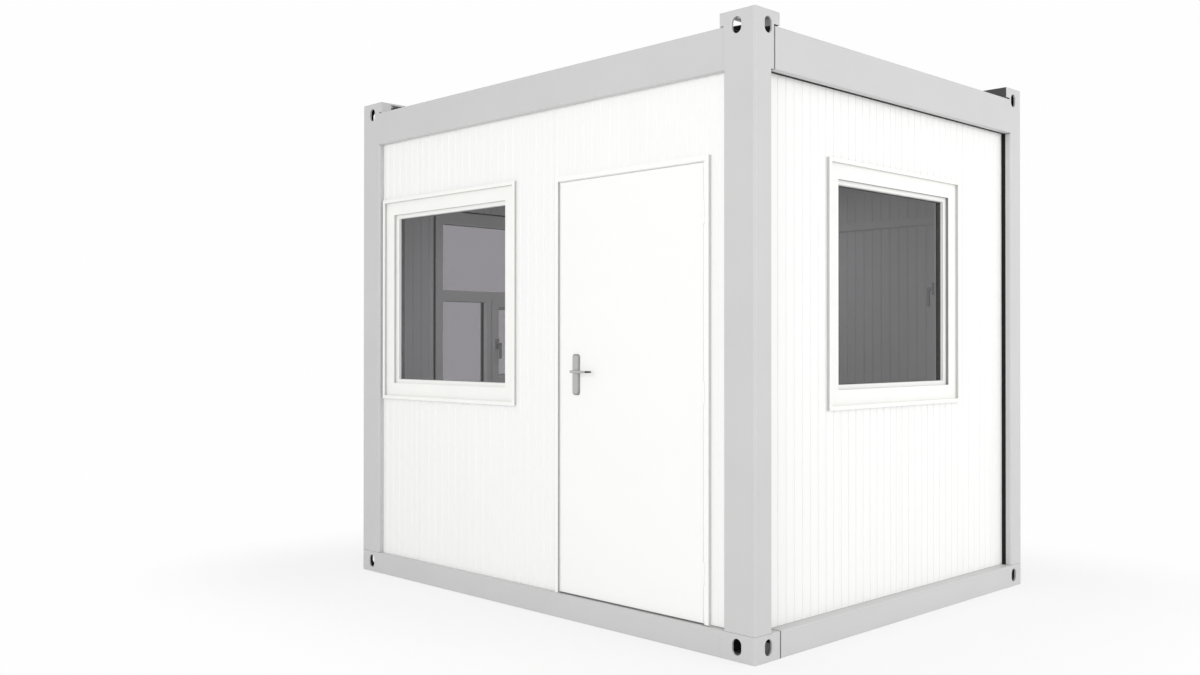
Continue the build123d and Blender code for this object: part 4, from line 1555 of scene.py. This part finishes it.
@dataclass
class FloorAndCeiling:
    """Vinyl on a plywood deck over zinc joists, and a ceiling of grooved sheet panels."""

    panel: float = 300.0
    joint_half: float = 4.0
    joint_deep: float = 3.0

    def build(self) -> None:
        """Finish the floor's layers and panel the ceiling."""
        paint_node("floor_covering", Paints.VINYL)
        paint_node("floor_deck", Paints.PLY)
        paint_node("floor_joists", Paints.ZINC)
        paint_node("underfloor_sheet", Paints.ZINC)
        self.ceiling()

    def ceiling(self) -> None:
        """The ceiling slab with open joints between its panels, drawn upright and then laid down."""
        low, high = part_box("ceiling")
        slab = Extent(low.x / MM, high.x / MM, low.z / MM, high.z / MM, low.y / MM, high.y / MM)
        joints = []
        at = slab.x0 + self.panel
        while at < slab.x1 - self.panel / 3:
            joints.append((at, self.joint_half, self.joint_deep))
            at += self.panel
        bm = bmesh.new()
        add_grooved_slab(bm, slab, joints)
        lie_down = Matrix(((1, 0, 0, 0), (0, 0, 1, 0), (0, 1, 0, 0), (0, 0, 0, 1)))
        finish_piece("ceiling_panels", bm, Matrix.Scale(MM, 4) @ lie_down, [Paints.CEILING], "ceiling")


@dataclass
class Roof:
    """The ribbed roof sheet between the roof beams, its screws and the purlins under it."""

    rib_pitch: float = 220.0
    screw_rows: int = 4
    first_row: float = 120.0
    head_radius: float = 5.0
    head_top: float = 5.0
    washer_radius: float = 8.0
    washer_top: float = 1.5

    def build(self) -> None:
        """Finish the sheet and the purlins, and drive the screws."""
        paint_node("roof_sheet", Paints.ROOF)
        paint_node("roof_purlins", Paints.ZINC)
        self.screws()

    def screws(self) -> None:
        """Hexagon screws with washers along each rib's crown."""
        low, high = (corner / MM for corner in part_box("roof_sheet"))
        count = int((high.x - low.x) / self.rib_pitch)
        margin = ((high.x - low.x) - count * self.rib_pitch) / 2
        run = high.y - low.y - 2 * self.first_row
        bm = bmesh.new()
        for k in range(count):
            x = low.x + margin + (k + 0.5) * self.rib_pitch
            for row in range(self.screw_rows):
                y = low.y + self.first_row + row * run / (self.screw_rows - 1)
                self.screw(bm, Vector((x, y, high.z)))
        finish_piece("roof_screws", bm, Matrix.Scale(MM, 4), [Paints.SCREW])

    def screw(self, bm: Draft, foot: Vector) -> None:
        """Add one washer with a hexagon head.

        Args:
            bm: the mesh that takes the faces.
            foot: where the washer lies.
        """
        washer = (self.washer_radius, 0.0, self.washer_top, 16)
        head = (self.head_radius, self.washer_top, self.head_top, 6)
        for radius, low, high, sides in (washer, head):
            loops = [
                [foot + Vector((radius * c, radius * s, level)) for c, s in even_turns(sides)]
                for level in (low, high)
            ]
            add_loops(bm, loops, False)


# Stage


def seen_directly(tree: Tree) -> Socket:
    """Find whether a thing itself is seen, also in a mirror or through glass, or only its light.

    Args:
        tree: the node tree that takes the nodes.

    Returns:
        1 where it is seen itself and 0 for its light.
    """
    path = add_node(tree, "ShaderNodeLightPath")
    shown = path.outputs["Is Camera Ray"]
    for name in ("Is Glossy Ray", "Is Transmission Ray"):
        either = add_node(tree, "ShaderNodeMath", {0: shown, 1: path.outputs[name]}, operation="MAXIMUM")
        shown = either.outputs[0]
    return shown


@dataclass(frozen=True)
class Lamp:
    """A square soft lamp: its place and the point it is turned to, its width in metres and its power."""

    name: str
    at: Triple
    aim: Triple
    size: float
    watts: float
    mirrored: bool = True

    def hang(self) -> None:
        """Put the lamp in the scene, out of the camera's sight."""
        data = bpy.data.lights.new(self.name, "AREA")
        data.size = self.size
        data.energy = self.watts
        made = put(self.name, data)
        made.location = self.at
        made.rotation_euler = (Vector(self.aim) - Vector(self.at)).to_track_quat("-Z", "Y").to_euler()
        made.visible_camera = False
        made.visible_glossy = self.mirrored


@dataclass
class Studio:
    """Pale floor, white surroundings, soft lamps and the camera at the photo's viewpoint."""

    lens_mm: float = 35.0
    sensor_mm: float = 36.0
    eye: Triple = (4.5592, -5.1377, 1.3636)
    yaw_deg: float = 45.59
    pitch_deg: float = 0.30
    roll_deg: float = 0.023
    floor_half_m: float = 60.0
    white: str = "#FFFFFF"
    floor_colour: str = "#F2F2F2"
    dome_strength: float = 0.72
    shown_strength: float = 0.991
    shadow_keeps: float = 0.72
    fade_from_m: float = 0.25
    fade_to_m: float = 1.5
    footprint_m: Point = (1.5, 1.22)
    lamps: tuple[Lamp, ...] = (
        Lamp("end_lamp", (9.0, 2.5, 3.0), (0.0, 0.3, 1.2), 5.0, 235.0),
        Lamp("door_lamp", (2.5, -9.5, 3.0), (0.3, 0.0, 1.2), 5.0, 244.0),
        Lamp("room_lamp", (0.0, 0.1, 2.32), (0.0, 0.1, 0.0), 1.2, 4.6, mirrored=False),
    )

    def build(self) -> None:
        """Set the whole stage."""
        self.camera()
        self.floor()
        self.world()
        for lamp in self.lamps:
            lamp.hang()
        bpy.context.scene.view_settings.view_transform = "Standard"

    def camera(self) -> None:
        """Stand the camera where the photo was taken from."""
        data = bpy.data.cameras.new("photo_camera")
        data.lens = self.lens_mm
        data.sensor_width = self.sensor_mm
        camera = put("photo_camera", data)
        turns = ((self.yaw_deg, "Z"), (90 + self.pitch_deg, "X"), (self.roll_deg, "Z"))
        yaw, pitch, roll = (Matrix.Rotation(math.radians(angle), 4, axis) for angle, axis in turns)
        camera.matrix_world = Matrix.Translation(self.eye) @ (yaw @ pitch @ roll)
        bpy.context.scene.camera = camera

    def floor(self) -> None:
        """A wide pale floor that takes the booth's shadow."""
        bm = bmesh.new()
        bmesh.ops.create_grid(bm, x_segments=1, y_segments=1, size=self.floor_half_m)
        mesh = bpy.data.meshes.new("studio_floor")
        bm.to_mesh(mesh)
        bm.free()
        made = bpy.data.materials.new("pale_matt_floor")
        tree = emptied(made)
        matt = add_node(tree, "ShaderNodeBsdfDiffuse", {"Color": linear(self.floor_colour)})
        shine = {"Color": linear(self.white), "Strength": self.shown_strength}
        glow = add_node(tree, "ShaderNodeEmission", shine)
        fade = {"Value": self.clearance(tree), "From Min": self.fade_from_m, "From Max": self.fade_to_m,
                "To Min": self.shadow_keeps}
        far = add_node(tree, "ShaderNodeMapRange", fade, interpolation_type="SMOOTHSTEP")
        seen = {0: seen_directly(tree), 1: far.outputs["Result"]}
        share = add_node(tree, "ShaderNodeMath", seen, operation="MULTIPLY")
        parts = {0: share.outputs[0], 1: matt.outputs[0], 2: glow.outputs[0]}
        mixed = add_node(tree, "ShaderNodeMixShader", parts)
        add_node(tree, "ShaderNodeOutputMaterial", {"Surface": mixed.outputs[0]})
        mesh.materials.append(made)
        floor = put("studio_floor", mesh)

    def clearance(self, tree: Tree) -> Socket:
        """Find how far a point of the floor is from the booth's footprint.

        Args:
            tree: the floor's node tree.

        Returns:
            The distance in metres, 0 under the booth.
        """
        coordinates = add_node(tree, "ShaderNodeTexCoord")
        split = add_node(tree, "ShaderNodeSeparateXYZ", {"Vector": coordinates.outputs["Object"]})
        past = {}
        for axis, half in zip("XY", self.footprint_m):
            away = add_node(tree, "ShaderNodeMath", {0: split.outputs[axis]}, operation="ABSOLUTE")
            over = add_node(tree, "ShaderNodeMath", {0: away.outputs[0], 1: half}, operation="SUBTRACT")
            kept = add_node(tree, "ShaderNodeMath", {0: over.outputs[0], 1: 0.0}, operation="MAXIMUM")
            past[axis] = kept.outputs[0]
        joined = add_node(tree, "ShaderNodeCombineXYZ", past)
        distance = add_node(tree, "ShaderNodeVectorMath", {0: joined.outputs[0]}, operation="LENGTH")
        return distance.outputs["Value"]

    def world(self) -> None:
        """White surroundings that show at full strength and light the booth at a lower one."""
        world = bpy.data.worlds.new("white_studio")
        bpy.context.scene.world = world
        tree = emptied(world)
        reach = {"Value": seen_directly(tree), "To Min": self.dome_strength, "To Max": self.shown_strength}
        strength = add_node(tree, "ShaderNodeMapRange", reach)
        dome = {"Color": linear(self.white), "Strength": strength.outputs["Result"]}
        glow = add_node(tree, "ShaderNodeBackground", dome)
        add_node(tree, "ShaderNodeOutputWorld", {"Surface": glow.outputs[0]})


def main() -> None:
    """Build the booth's looks and its stage, in order."""
    logging.basicConfig(level=logging.INFO, format="%(name)s: %(message)s")
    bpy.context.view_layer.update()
    plan = Plan()
    assemblies = (
        SteelFrame(plan),
        RibbedWalls(plan),
        EndSeals(plan),
        # The door side's window takes a lighter spacer and seal, the end windows darker ones: painted shade
        # of two depths, lighter where more light falls
        Window(plan, Side.FRONT, Paints.LIT_SPACER, Paints.TRIM_SEAL_SHADE),
        Window(plan, Side.RIGHT),
        DividedWindow(plan, Side.LEFT),
        WindowHandles(),
        DoorSet(plan),
        FloorAndCeiling(),
        Roof(),
        Studio(),
    )
    for assembly in assemblies:
        assembly.build()
        LOG.info("%s is built", type(assembly).__name__)


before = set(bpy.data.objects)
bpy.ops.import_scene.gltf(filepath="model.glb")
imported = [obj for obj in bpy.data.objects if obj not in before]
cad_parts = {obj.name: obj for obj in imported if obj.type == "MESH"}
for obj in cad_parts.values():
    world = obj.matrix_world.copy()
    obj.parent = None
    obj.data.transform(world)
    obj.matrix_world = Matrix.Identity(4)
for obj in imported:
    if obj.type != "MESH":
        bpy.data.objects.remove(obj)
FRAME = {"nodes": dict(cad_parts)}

if __name__ == "__main__":
    main()
